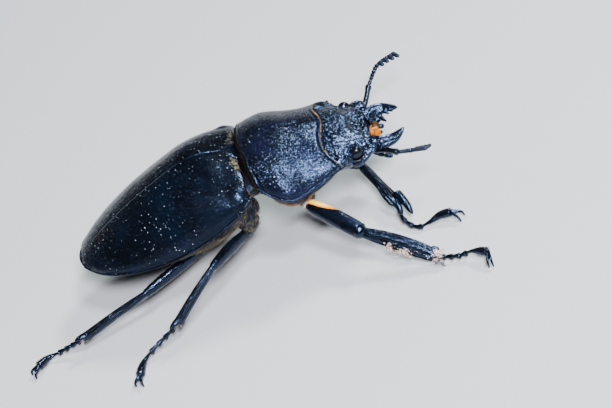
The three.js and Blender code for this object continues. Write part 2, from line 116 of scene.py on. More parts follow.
# Where each leg's joints stand, from the coxa in the body to the claws on the floor. The foot runs from the
# ankle through its own points to pad, toe is where its claws touch the floor (x and y), and splay is how far
# they part. outer is the toothed side of the shin. shin gives its half width as (share of its length,
# size), flat its thickness as a share of its width, teeth are (share, height) and prongs are (base, tip,
# radius). A leg without them takes those of LEG_SIZES or make_tibia, and one without splay that of
# make_claws.
LEGS = {
    "front_right": {
        "coxa": (3.9, -2.3, -3.0), "hip": (3.85, -4.4, -3.3), "knee": (8.35, -9.75, -5.5),
        "ankle": (14.72, -14.1, -8.85),
        "foot": [(15.95, -14.4, -9.2), (16.9, -14.8, -9.2), (18.1, -15.15, -8.95)],
        "pad": (19.7, -16.4, -8.75), "toe": (19.5, -17.5), "splay": 0.2, "outer": (0.39, 0.61, 0.69),
        "shin": ((0, 0.52), (0.12, 0.6), (0.35, 0.74), (0.7, 0.8), (0.92, 0.68), (1, 0.5)),
        "teeth": [(0.2, 0.07), (0.28, 0.1), (0.36, 0.11), (0.44, 0.13), (0.52, 0.13), (0.6, 0.14),
                  (0.68, 0.14), (0.76, 0.15), (0.84, 0.15)],
        "prongs": [((14.45, -13.2, -8.2), (15.15, -13.6, -8.6), 0.34),
                   ((14.3, -14.4, -9.0), (15.2, -15.1, -9.5), 0.3)],
    },
    "front_left": {
        "coxa": (3.9, 2.3, -3.0), "hip": (4.1, 3.9, -3.5), "knee": (9.9, 2.3, -6.36),
        "ankle": (12.35, -4.75, -8.05),
        "foot": [(12.45, -6.3, -8.9), (13.6, -8.0, -9.25), (14.9, -8.1, -9.2), (16.2, -7.85, -9.1)],
        "pad": (17.5, -8.3, -8.9), "toe": (18.3, -8.9), "outer": (0.78, 0.39, -0.48), "flat": 0.5,
        "shin": ((0, 0.5), (0.2, 0.6), (0.6, 0.64), (0.8, 0.8), (1, 0.72)),
        "teeth": [(0.45, 0.16), (0.62, 0.3), (0.78, 0.24)],
        "prongs": [((12.1, -3.9, -7.75), (12.5, -6.3, -8.4), 0.52),
                   ((12.7, -3.3, -7.6), (13.6, -6.8, -8.4), 0.58)],
    },
    "middle_right": {
        "coxa": (-2.7, -1.9, -3.9), "hip": (-3.2, -3.7, -4.3), "knee": (-7.34, -8.54, -3.0),
        "ankle": (-13.2, -11.35, -6.0),
        "foot": [(-15.5, -11.85, -6.8), (-17.0, -12.55, -7.1), (-17.9, -13.6, -7.2)],
        "pad": (-18.35, -15.2, -7.1), "toe": (-18.75, -15.9), "outer": (-0.3, -0.5, 0.8),
    },
    "middle_left": {
        "coxa": (-2.7, 1.9, -3.9), "hip": (-3.2, 3.7, -4.3), "knee": (-5.2, 9.9, -1.9),
        "ankle": (-6.3, 13.9, -7.2),
        "foot": [(-7.2, 15.2, -7.85), (-8.2, 16.0, -7.9), (-9.2, 16.4, -7.75)],
        "pad": (-10.4, 16.8, -7.5), "toe": (-11.2, 17.1), "outer": (-0.4, 0.6, 0.7),
    },
    "hind_right": {
        "coxa": (-8.2, -2.3, -3.8), "hip": (-8.9, -3.3, -4.6), "knee": (-15.6, -6.7, -4.3),
        "ankle": (-23.8, -7.45, -6.0),
        "foot": [(-25.75, -7.05, -6.6), (-27.1, -6.95, -6.85), (-28.3, -7.1, -6.85)],
        "pad": (-29.4, -8.15, -6.5), "toe": (-30.2, -8.6), "outer": (0.0, -0.4, 0.9),
    },
    "hind_left": {
        "coxa": (-8.2, 2.3, -3.8), "hip": (-8.9, 3.3, -4.6), "knee": (-11.4, 9.6, -2.2),
        "ankle": (-14.8, 12.8, -7.0),
        "foot": [(-16.3, 12.7, -7.5), (-17.5, 12.3, -7.6), (-18.6, 11.7, -7.5)],
        "pad": (-19.8, 10.9, -7.15), "toe": (-20.55, 10.5), "outer": (-0.4, 0.6, 0.7),
    },
}


# ---------------------------------------------------------------- small maths
def profile(*stations):
    """A smooth function through a few (place, value) stations, in rising order of place."""
    xs, ys = np.array(stations, float).T
    slopes = np.array([(ys[min(i + 1, len(xs) - 1)] - ys[max(i - 1, 0)])
                       / (xs[min(i + 1, len(xs) - 1)] - xs[max(i - 1, 0)]) for i in range(len(xs))])

    def value(t):
        t = np.clip(t, xs[0], xs[-1])
        i = np.clip(np.searchsorted(xs, t, "right") - 1, 0, len(xs) - 2)
        h = xs[i + 1] - xs[i]
        s = (t - xs[i]) / h
        blend = s * s * (3 - 2 * s)
        turn = (1 - s) * slopes[i] - s * slopes[i + 1]
        return ys[i] + (ys[i + 1] - ys[i]) * blend + h * s * (1 - s) * turn

    return value


def signed_power(x, power):
    """x to this power, with x's own sign."""
    return np.sign(x) * np.abs(x) ** power


def unit(v):
    """The vectors v at length 1."""
    v = np.asarray(v, float)
    return v / np.maximum(np.linalg.norm(v, axis=-1, keepdims=True), 1e-12)


def smooth(low, high, x):
    """0 below low, 1 above high and a smooth step between them."""
    t = np.clip((x - low) / (high - low), 0, 1)
    return t * t * (3 - 2 * t)


def hump(x, middle, reach):
    """1 at the middle, falling off like a bell."""
    return np.exp(-((x - middle) / reach) ** 2)


def sided(points, side):
    """The right-hand parts are drawn; the left-hand ones are their mirror images."""
    return np.asarray(points, float) * (1, 1 if side == "right" else -1, 1)


def course(points, count):
    """count points spaced evenly along a smooth curve through the given ones."""
    p = np.asarray(points, float)
    if len(p) == 2:
        return p[0] + np.linspace(0, 1, count)[:, None] * (p[1] - p[0])
    ends = np.vstack([2 * p[0] - p[1], p, 2 * p[-1] - p[-2]])
    t = np.linspace(0, 1, 40, endpoint=False)[:, None]
    traced = []
    for before, a, b, after in zip(ends, ends[1:], ends[2:], ends[3:]):
        k0, k1, k2 = (np.linalg.norm(step) ** 0.5 for step in (a - before, b - a, after - b))
        leave = ((a - before) / k0 - (b - before) / (k0 + k1) + (b - a) / k1) * k1
        arrive = ((b - a) / k1 - (after - a) / (k1 + k2) + (after - b) / k2) * k1
        traced.append(a + leave * t + (3 * (b - a) - 2 * leave - arrive) * t ** 2
                      + (2 * (a - b) + leave + arrive) * t ** 3)
    line = np.vstack([*traced, p[-1:]])
    length = np.concatenate([[0], np.cumsum(np.linalg.norm(np.diff(line, axis=0), axis=1))])
    even = np.linspace(0, length[-1], count)
    return np.stack([np.interp(even, length, line[:, axis]) for axis in range(3)], 1)


def cells(points, size):
    """How far each point is from the nearest of many scattered centres, size apart, as a share of size."""
    return np.array([voronoi(p)[0][0] for p in (points / size).tolist()])


def clouds(points, size):
    """Soft random heights from -1 to 1, size across."""
    return np.array([noise(p) for p in (points / size).tolist()])


def pits(points, size):
    """1 in the middle of each pit and 0 between the pits."""
    return 1 - smooth(0.0, 0.5, cells(points, size))


# ---------------------------------------------------------------- forms
class Form:
    """The points and faces of one piece while it is made."""

    def __init__(self):
        self.points = np.zeros((0, 3))
        self.quads = np.zeros((0, 4), int)
        self.tris = np.zeros((0, 3), int)

    def add(self, points, quads=(), tris=()):
        """Takes in more points and the faces between them."""
        start = len(self.points)
        self.points = np.vstack([self.points, points])
        if len(quads):
            self.quads = np.vstack([self.quads, np.asarray(quads) + start])
        if len(tris):
            self.tris = np.vstack([self.tris, np.asarray(tris) + start])
        return self

    def loft(self, rings):
        """A closed skin over rings of points, with a fan at each end."""
        count, sides = rings.shape[:2]
        r, k = np.mgrid[0:count - 1, 0:sides]
        a = r * sides + k
        b = r * sides + (k + 1) % sides
        quads = np.stack([a, b, b + sides, a + sides], -1).reshape(-1, 4)
        k = np.arange(sides)
        turn = (k + 1) % sides
        first = count * sides
        last = (count - 1) * sides
        tris = np.vstack([np.stack([turn, k, np.full(sides, first)], 1),
                          np.stack([last + k, last + turn, np.full(sides, first + 1)], 1)])
        points = np.vstack([rings.reshape(-1, 3), rings[0].mean(0), rings[-1].mean(0)])
        corners = points[np.vstack([quads[:, :3], quads[:, [0, 2, 3]], tris])]
        if np.einsum("ij,ij->", corners[:, 0], np.cross(corners[:, 1], corners[:, 2])) < 0:
            quads = quads[:, ::-1]
            tris = tris[:, ::-1]
        return self.add(points, quads, tris)

    def sheet(self, grid):
        """An open skin over a grid of points."""
        rows, columns = grid.shape[:2]
        r, k = np.mgrid[0:rows - 1, 0:columns - 1]
        a = r * columns + k
        quads = np.stack([a, a + 1, a + columns + 1, a + columns], -1)
        return self.add(grid.reshape(-1, 3), quads.reshape(-1, 4))

    def ball(self, centre, size, rows=24, sides=32):
        """A closed egg shape, with size as its half sizes."""
        polar = np.linspace(0.02, math.pi - 0.02, rows)[:, None]
        turn = np.linspace(0, 2 * math.pi, sides, endpoint=False)[None]
        shell = np.stack(np.broadcast_arrays(np.sin(polar) * np.cos(turn), np.sin(polar) * np.sin(turn),
                                             np.cos(polar)), -1)
        return self.loft(np.asarray(centre) + shell * np.asarray(size))

    def normals(self):
        """The unit normal of each point."""
        faces = np.vstack([self.quads[:, :3], self.quads[:, [0, 2, 3]], self.tris])
        a, b, c = (self.points[faces[:, i]] for i in range(3))
        across = np.cross(b - a, c - a)
        total = np.stack([sum(np.bincount(faces[:, i], across[:, axis], len(self.points)) for i in range(3))
                          for axis in range(3)], 1)
        return unit(total)

    def raised(self, heights):
        """Moves each point out along its normal."""
        self.points = self.points + self.normals() * np.asarray(heights)[:, None]
        return self

    def outward(self, middle):
        """Turns an open skin over if it faces the point that it should face away from."""
        if (self.normals() * (self.points - middle)).sum() < 0:
            self.quads = self.quads[:, ::-1]
        return self

    def mesh(self, name, points=None):
        """A Blender mesh of this form."""
        made = bpy.data.meshes.new(name)
        points = self.points if points is None else points
        corners = np.concatenate([self.quads.ravel(), self.tris.ravel()])
        starts = np.concatenate([np.arange(len(self.quads)) * 4,
                                 self.quads.size + np.arange(len(self.tris)) * 3])
        made.vertices.add(len(points))
        made.vertices.foreach_set("co", points.astype(np.float32).ravel())
        made.loops.add(len(corners))
        made.loops.foreach_set("vertex_index", corners.astype(np.int32))
        made.polygons.add(len(starts))
        made.polygons.foreach_set("loop_start", starts.astype(np.int32))
        made.update(calc_edges=True)
        made.polygons.foreach_set("use_smooth", np.ones(len(starts), bool))
        return made

    def through(self, *modifiers):
        """This form as a stack of Blender modifiers leaves it, each given as (type, settings)."""
        worked = bpy.data.objects.new("workpiece", self.mesh("workpiece"))
        bpy.context.scene.collection.objects.link(worked)
        for kind, settings in modifiers:
            modifier = worked.modifiers.new(kind.lower(), kind)
            for key, value in settings.items():
                setattr(modifier, key, value)
        result = bpy.data.meshes.new_from_object(worked.evaluated_get(bpy.context.evaluated_depsgraph_get()))
        made = Form()
        made.points = np.empty(len(result.vertices) * 3, np.float32)
        result.vertices.foreach_get("co", made.points)
        made.points = made.points.reshape(-1, 3).astype(float)
        corners = np.empty(len(result.loops), np.int32)
        result.loops.foreach_get("vertex_index", corners)
        starts = np.empty(len(result.polygons), np.int32)
        result.polygons.foreach_get("loop_start", starts)
        sizes = np.diff(np.append(starts, len(corners)))
        made.quads = corners[starts[sizes == 4][:, None] + np.arange(4)].astype(int)
        made.tris = corners[starts[sizes == 3][:, None] + np.arange(3)].astype(int)
        bpy.data.objects.remove(worked)
        bpy.data.meshes.remove(result)
        return made

    def fused(self, voxel, calm):
        """One skin over everything in the form, with its creases softened calm times."""
        return self.through(("REMESH", {"mode": "VOXEL", "voxel_size": voxel}),
                            ("SMOOTH", {"factor": 0.5, "iterations": calm}))

    def shelled(self, thickness):
        """A closed plate of this thickness with the form's skin as its outer face."""
        return self.through(("SOLIDIFY", {"thickness": thickness, "offset": -1.0, "use_rim": True}))


def grid_normals(grid, outward_from):
    """Outward unit normals of a grid of points."""
    normal = unit(np.cross(np.gradient(grid, axis=0), np.gradient(grid, axis=1)))
    facing = np.einsum("ijk,ijk->", normal, grid - outward_from)
    return normal if facing > 0 else -normal


def rolled(grid, normals, radius, turn, steps=6):
    """The grid with its last row rolled over inwards through turn radians, as the rim of a plate is."""
    out = unit(grid[-1] - grid[-2])
    angle = np.linspace(0, turn, steps + 1)[1:, None, None]
    lip = grid[-1] + out * radius * np.sin(angle) - normals[-1] * radius * (1 - np.cos(angle))
    return np.concatenate([grid, lip])


def sweep(line, flat, wide, thick, sides=28, shape=None):
    """Rings round a line. wide and thick are half sizes along it, flat is the way the width points, and
    shape(t, angle) scales the outline."""
    line = np.asarray(line, float)
    ahead = unit(np.gradient(line, axis=0))
    across = unit(flat - (ahead @ np.asarray(flat, float))[:, None] * ahead)
    over = np.cross(ahead, across)
    angle = np.linspace(0, 2 * math.pi, sides, endpoint=False)[None]
    t = np.linspace(0, 1, len(line))[:, None]
    scale = shape(t, angle) if shape else np.ones((len(line), sides))
    wide = (np.broadcast_to(wide, len(line))[:, None] * np.cos(angle) * scale)[..., None]
    thick = (np.broadcast_to(thick, len(line))[:, None] * np.sin(angle) * scale)[..., None]
    return line[:, None] + wide * across[:, None] + thick * over[:, None]


def closing(t, start=0.04, end=0.04):
    """Rounds the two ends of a limb: 1 along it and almost 0 at its ends."""
    first = np.clip(t / start, 0, 1)
    last = np.clip((1 - t) / end, 0, 1)
    return np.sqrt(np.maximum(1 - (1 - first) ** 2, 1e-4)) * np.sqrt(np.maximum(1 - (1 - last) ** 2, 1e-4))


def spike(form, base, tip, radius, bend=(0, 0, 0), point=0.03):
    """A thorn that narrows from its base to its tip."""
    middle = (np.asarray(base) + tip) / 2 + bend
    reach = np.linspace(radius, point, 12)
    form.loft(sweep(course([base, middle, tip], 12), (0.3, 0.2, 1), reach, reach, 12))


# ---------------------------------------------------------------- place in the row frame
def body_place():
    """The turn and shift that lay the body frame, in millimetres, into the row frame, in metres."""
    pitch = math.atan(FLOOR_SLOPE)
    c, s = math.cos(pitch), math.sin(pitch)
    turn = np.array([[c, 0, s], [0, 1, 0], [-s, 0, c]])
    low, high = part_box("eye_right")
    shift = (np.array(low) + np.array(high)) / 2 - turn @ np.array(EYE["centre"]) * MM
    return turn, shift


TURN, SHIFT = body_place()


def piece(name, form, material, slot, *nodes, marks=None, uv=None):
    """Puts a finished form into the scene as a piece that stands for these CAD nodes. marks are values at
    its points that its material reads, and uv is the OFBake map that a coat of hair is laid out on."""
    mesh = form.mesh(name, form.points @ TURN.T * MM + SHIFT)
    mesh.materials.append(material)
    for mark, values in (marks or {}).items():
        attribute = mesh.attributes.new(mark, "FLOAT", "POINT")
        attribute.data.foreach_set("value", np.asarray(values, np.float32))
    if uv is not None:
        corners = np.empty(len(mesh.loops), np.int32)
        mesh.loops.foreach_get("vertex_index", corners)
        mesh.uv_layers.new(name="OFBake").data.foreach_set("uv", uv[corners].astype(np.float32).ravel())
    made = bpy.data.objects.new(name, mesh)
    bpy.context.scene.collection.objects.link(made)
    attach(made, "root")
    if nodes:
        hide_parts(*nodes)


# ---------------------------------------------------------------- materials
class Socket:
    """One output of a material's nodes, so that shader maths reads as Python. A Socket with no output only
    starts new nodes."""

    def __init__(self, tree, output=None):
        self.tree = tree
        self.output = output

    def node(self, kind, settings=None, values=None, result=0):
        """A new node: its settings come first, then its inputs' values or links. Gives the named output."""
        made = self.tree.nodes.new(kind)
        for key, setting in (settings or {}).items():
            setattr(made, key, setting)
        for key, value in (values or {}).items():
            if isinstance(value, Socket):
                self.tree.links.new(value.output, made.inputs[key])
            else:
                made.inputs[key].default_value = value
        return Socket(self.tree, made.outputs[result])

    def math(self, operation, *terms):
        """A Math node on these values."""
        return self.node("ShaderNodeMath", {"operation": operation}, dict(enumerate(terms)))

    def __add__(self, other):
        return self.math("ADD", self, other)

    def __sub__(self, other):
        return self.math("SUBTRACT", self, other)

    def __rsub__(self, other):
        return self.math("SUBTRACT", other, self)

    def __mul__(self, other):
        return self.math("MULTIPLY", self, other)

    __radd__ = __add__
    __rmul__ = __mul__

    def step(self, low, high):
        """A smooth step from 0 at low to 1 at high."""
        return self.node("ShaderNodeMapRange", {"interpolation_type": "SMOOTHSTEP"},
                         {"Value": self, "From Min": low, "From Max": high})

    def mix(self, first, second):
        """first where this value is 0 and second where it is 1, both colours."""
        return self.node("ShaderNodeMix", {"data_type": "RGBA"}, {0: self, 6: first, 7: second}, 2)


def rgba(colour):
    """A colour with full alpha."""
    return (*colour[:3], 1.0)


def where(start):
    """A point's own place on its piece."""
    return start.node("ShaderNodeTexCoord", result="Object")


def haze(place, size, detail=2.0, rough=0.5):
    """Soft noise from 0 to 1 whose clouds are size millimetres across."""
    return place.node("ShaderNodeTexNoise", None,
                      {"Vector": place, "Scale": 1 / (size * MM), "Detail": detail, "Roughness": rough})


def dots(place, size, result="Distance"):
    """Distance to the nearest of many points, size millimetres apart, or that point's own colour."""
    return place.node("ShaderNodeTexVoronoi", None, {"Vector": place, "Scale": 1 / (size * MM)}, result)


def lots(place, size):
    """A random value from 0 to 1 for each of many cells, size millimetres apart."""
    colour = dots(place, size, "Color")
    return colour.node("ShaderNodeSeparateColor", None, {0: colour}, "Red")


def facets(place, size, tilt):
    """Heights in millimetres of many small flat facets, size across, each one tilted its own way: most of
    them a little and a few a lot."""
    centre = dots(place, size, "Position")
    way = dots(place, size, "Color")
    way = way.node("ShaderNodeVectorMath", {"operation": "SUBTRACT"}, {0: way, 1: (0.5, 0.5, 0.5)})
    off = place.node("ShaderNodeVectorMath", {"operation": "SUBTRACT"}, {0: place, 1: centre})
    reach = way.node("ShaderNodeVectorMath", {"operation": "DOT_PRODUCT"}, {0: way, 1: way}, "Value")
    slope = off.node("ShaderNodeVectorMath", {"operation": "DOT_PRODUCT"}, {0: off, 1: way}, "Value")
    return slope * (reach + 0.05) * (7 * tilt / MM)


def painted(name, look, **constants):
    """A material whose inputs come from look(start), a dictionary of what varies, and from constants."""
    made = bpy.data.materials.new(name)
    made.use_nodes = True
    shader = made.node_tree.nodes["Principled BSDF"]
    for key, value in constants.items():
        shader.inputs[key.replace("_", " ")].default_value = value
    for key, value in look(Socket(made.node_tree)).items():
        made.node_tree.links.new(value.output, shader.inputs[key])
    return made


def bumped(height, depth):
    """The surface tilted as a relief of this height, 0 to 1, and depth in millimetres would tilt it."""
    return height.node("ShaderNodeBump", None, {"Strength": 1.0, "Distance": depth * MM, "Height": height})


def marked(start, name):
    """The values that a piece carries at its points under this name."""
    return start.node("ShaderNodeAttribute", {"attribute_name": name}, result="Fac")


WORN = (0.03, 0.027, 0.03)
SPECK = (0.62, 0.68, 0.74)
SPECK_GAP = 0.38  # millimetres between specks
SPOT_MIDDLE = (1.0, 0.70, 0.10)
SOIL_DARK = (0.30, 0.20, 0.14)
SOIL_PALE = (0.62, 0.50, 0.42)


def spotted(start, base, rough, spot):
    """The amber spot of a thigh and the soil on a leg, where the piece's marks put them."""
    place = where(start)
    mark = marked(start, "spot")
    mark = mark + (haze(place, 0.3) - 0.5) * 0.25
    base = mark.step(0.12, 0.3).mix(base, mark.step(0.35, 0.9).mix(rgba(spot), rgba(SPOT_MIDDLE)))
    soil = marked(start, "soil")
    soil = (soil * (haze(place, 0.3, 4.0, 0.7) + 0.35)).step(0.42, 0.6)
    base = soil.mix(base, haze(place, 0.2).mix(rgba(SOIL_DARK), rgba(SOIL_PALE)))
    return base, rough + soil * 0.5


def dusted(start, base, rough, dust):
    """Pale dull specks, sparse where dust is small and in every clear patch where it is 1."""
    place = where(start)
    speck = 1 - dots(place, SPECK_GAP).step(0.05, 0.15)
    speck = speck * lots(place, SPECK_GAP).step(1 - dust, 1.0) * haze(place, 4.0).step(0.36, 0.56)
    return speck.mix(base, rgba(SPECK)), rough + speck * 0.4


def horn(name, colour, second, roughness, pit=0.16, depth=0.012, facet=0.2, tilt=0.0, dust=0.0, spot=None,
         **constants):
    """Hard black horn: two near colours in clouds (a bluer second one is a painted soft sheen), fine pits
    painted darker as painted shade, hair scratches, facets where tilt isn't 0, specks where dust isn't 0, and
    a spot where it has a colour. pit, depth and facet are in millimetres."""

    def look(start):
        place = where(start)
        cloud = haze(place, 3.2).step(0.35, 0.7)
        grain = haze(place, 0.09, 3.0)
        pocks = 1 - dots(place, pit).step(0.06, 0.6)
        # Noise that is drawn out along the body makes fine scratches.
        drawn = place.node("ShaderNodeVectorMath", {"operation": "MULTIPLY"}, {0: place, 1: (0.12, 1.0, 1.0)})
        scratch = haze(drawn, 0.12, 2.0).step(0.62, 0.74)
        # Where the second colour is bluer than the horn, its clouds are a painted soft blue sheen.
        base = cloud.mix(rgba(colour), rgba(second))
        # The pits are painted darker than the horn: painted shade in the pits.
        base = (pocks * 0.6).mix(base, rgba([c * 0.35 for c in colour]))
        base = (scratch * 0.12).mix(base, rgba(WORN))
        rough = roughness + grain * 0.1 - 0.05 - pocks * 0.06 + scratch * 0.08
        if spot:
            base, rough = spotted(start, base, rough, spot)
        if dust:
            base, rough = dusted(start, base, rough, dust)
        relief = (1 - pocks + (grain - 0.5) * 0.05) * depth
        if tilt:
            relief = relief + facets(place, facet, tilt)
        return {"Base Color": base, "Roughness": rough, "Normal": bumped(relief, 1.0)}

    return painted(name, look, **constants)


def hairs(name, root, tip):
    """Stiff hair from a root colour to a tip colour, each one a little lighter or darker than the next. The
    dark roots are painted shade near the skin and the light tips are painted glints.
    """

    def look(start):
        place = where(start)
        # Painted light: each hair is painted dark at its root, as shade near the skin, and light at its tip,
        # as a glint; lots gives each hair its own tone.
        painted_light_and_tone = (marked(start, "along") * 0.75 + 0.2) * (lots(place, 0.16) * 0.9 + 0.1)
        clump = haze(place, 0.7).step(0.35, 0.65)
        colour = (painted_light_and_tone * (clump * 0.6 + 0.4)).mix(rgba(root), rgba(tip))
        return {"Base Color": colour, "Roughness": 0.42 + painted_light_and_tone * 0.15}

    return painted(name, look, Specular_IOR_Level=0.25, Specular_Tint=rgba(tip))


def settings():
    """The beetle's settings in the add-on's panel."""
    return bpy.context.scene.stag_beetle


def stage_settings():
    """The stage's settings in the add-on's panel."""
    return bpy.context.scene.stag_beetle_stage


def material(name):
    """The named material, made when a piece first asks for it."""
    return bpy.data.materials.get(name) or MATERIALS[name](name)


def black(name, second=None, roughness=None, **more):
    """The beetle's black horn. second is the colour of its clouds; where it is bluer than the horn, it is a
    soft blue sheen painted into the colour.
    """
    chosen = settings()
    tint = tuple(1 - chosen.blueness * share for share in (0.68, 0.48, 0.0))
    return horn(name, chosen.horn_colour, second or chosen.painted_sheen_colour,
                chosen.gloss if roughness is None else roughness,
                Specular_Tint=rgba(tint), **more)


def eye_glass(name):
    """The eye's glossy dome of very many small lenses."""

    def look(start):
        place = where(start)
        lenses = dots(place, 0.05).step(0.0, 0.5)
        depth = haze(place, 0.9).step(0.3, 0.75)
        return {
            "Base Color": depth.mix(rgba(settings().eye_colour), (0.002, 0.002, 0.003, 1)),
            "Roughness": 0.1 + lenses * 0.05,
            "Normal": bumped(1 - lenses, 0.003),
        }

    return painted(name, look, Specular_IOR_Level=0.4, Specular_Tint=(0.6, 0.72, 1.0, 1))


def lip_horn(name):
    """The lip's thin amber horn, which lets a little light through."""

    def look(start):
        place = where(start)
        cloud = haze(place, 0.5).step(0.3, 0.7)
        return {
            "Base Color": cloud.mix((0.10, 0.03, 0.006, 1), (0.45, 0.16, 0.02, 1)),
            "Roughness": 0.35 + haze(place, 0.1) * 0.3,
            "Normal": bumped(haze(place, 0.12, 3.0), 0.02),
        }

    return painted(name, look, Subsurface_Weight=0.15, Subsurface_Radius=(0.0006, 0.0003, 0.0001))


def bark_dust(name):
    """Caked crumbs of wood, painted darker in the hollows of their relief as painted shade."""

    def look(start):
        place = where(start)
        crumb = haze(place, 0.18, 4.0, 0.65)
        # The low parts of the crumb relief are painted dark: painted shade in the hollows between crumbs.
        painted_light_and_tone = crumb.step(0.3, 0.7).mix((0.18, 0.11, 0.085, 1), (0.68, 0.52, 0.44, 1))
        return {
            "Base Color": lots(place, 0.3).step(0.8, 0.9).mix(painted_light_and_tone, (0.16, 0.09, 0.06, 1)),
            "Roughness": 0.85 + crumb * 0.1,
            "Normal": bumped(crumb, 0.08),
        }

    return painted(name, look)


# In the black horns below, a bluer second colour is a soft blue sheen painted into the colour; the belly's
# browner one is a tone of its own.
MATERIALS = {
    "wing_horn": lambda name: black(name, dust=1.0, pit=0.15, depth=0.004, facet=0.1, tilt=0.06,
                                    Specular_IOR_Level=0.25),
    "front_horn": lambda name: black(name, (0.003, 0.003, 0.011), 0.24, dust=0.36, pit=0.26,
                                     depth=0.008, facet=0.078, tilt=0.15, Specular_IOR_Level=0.4),
    "head_horn": lambda name: black(name, (0.003, 0.005, 0.011), 0.18, dust=0.12, pit=0.24,
                                    depth=0.012, facet=0.078, tilt=0.2, Specular_IOR_Level=1.0),
    "leg_horn": lambda name: black(name, (0.002, 0.003, 0.006), 0.08, pit=0.22, depth=0.01, facet=0.11,
                                   tilt=0.035, spot=settings().spot_colour),
    "jaw_horn": lambda name: black(name, (0.003, 0.004, 0.008), 0.13, pit=0.18, depth=0.012, facet=0.078,
                                   tilt=0.07),
    "belly_horn": lambda name: black(name, (0.006, 0.004, 0.003), 0.42, pit=0.18, depth=0.02,
                                     Specular_IOR_Level=0.25),
    "feeler_horn": lambda name: black(name, (0.003, 0.003, 0.004), 0.24, pit=0.14, depth=0.012),
    "club_horn": lambda name: black(name, (0.014, 0.013, 0.016), 0.46, pit=0.05, depth=0.01),
    "eye_glass": eye_glass,
    "lip_horn": lip_horn,
    "bark_dust": bark_dust,
    # Each hair's root colour is far darker than its tip: painted shade near the skin and painted glints at
    # the tips.
    "golden_hair": lambda name: hairs(name, [0.03 * c for c in settings().hair_colour],
                                      [1.2 * c for c in settings().hair_colour]),
    "fringe_hair": lambda name: hairs(name, (0.20, 0.07, 0.004), (1.0, 0.50, 0.05)),
    "pale_hair": lambda name: hairs(name, (0.02, 0.012, 0.006), (1.0, 0.88, 0.55)),
    "straw_hair": lambda name: hairs(name, (0.03, 0.02, 0.01), (0.9, 0.74, 0.42)),
    # The far mouth brush: the orange brush painted dull brown as painted shade.
    "brown_hair": lambda name: hairs(name, (0.012, 0.006, 0.003), (0.22, 0.12, 0.045)),
    "dark_hair": lambda name: hairs(name, (0.005, 0.004, 0.004), (0.16, 0.10, 0.05)),
    "rusty_hair": lambda name: hairs(name, (0.16, 0.045, 0.006), (0.8, 0.36, 0.07)),
    "orange_hair": lambda name: hairs(name, (0.40, 0.07, 0.0), (1.0, 0.42, 0.005)),
    # Near-black hair for the shield's hind fringe: painted shade of the gap behind the shield.
    "black_hair": lambda name: hairs(name, (0.003, 0.002, 0.002), (0.05, 0.028, 0.014)),
}


# ---------------------------------------------------------------- wing cases
wing_margin = profile((0, 1.5), (2, 0.7), (5, -0.3), (9, -1.15), (13, -1.5), (17, -1.6), (20.4, -1.5))
fold_width = profile((0, 1.2), (5, 1.0), (12, 0.6), (20.4, 0.2))


def wing_half_width(s):
    """Half width of the two wing cases together, s millimetres behind their front edge."""
    w = WING
    hind = np.clip((s - w["widest"]) / (w["length"] - w["widest"]), 0, 1)
    front = np.clip((w["widest"] - s) / w["widest"], 0, 1)
    narrowed = w["half_width"] - (w["half_width"] - w["shoulder"]) * front ** 2 \
        - w["rounding"] * np.clip(1 - s / 1.4, 0, 1) ** 2
    return np.where(s >= w["widest"], w["half_width"] * (1 - hind ** 2.3) ** 0.5, narrowed)


def wing_rise(s):
    """Height of the wing cases' dome over their side edges."""
    w = WING
    hind = np.clip((s - w["crest"]) / (w["length"] - w["crest"]), 0, 1)
    front = np.clip((w["crest"] - s) / w["crest"], 0, 1)
    return np.where(s >= w["crest"], w["rise"] * (1 - hind ** 1.65) ** 0.85,
                    w["rise"] - (w["rise"] - w["base_rise"]) * front ** 2)


def scutellum_half_width(x):
    """Half width of the small triangle between the wing cases' front ends."""
    share = np.clip((SCUTELLUM["front"] - x) / SCUTELLUM["length"], 0, 1)
    return SCUTELLUM["half_width"] * (1 - share ** 1.5) ** 0.9


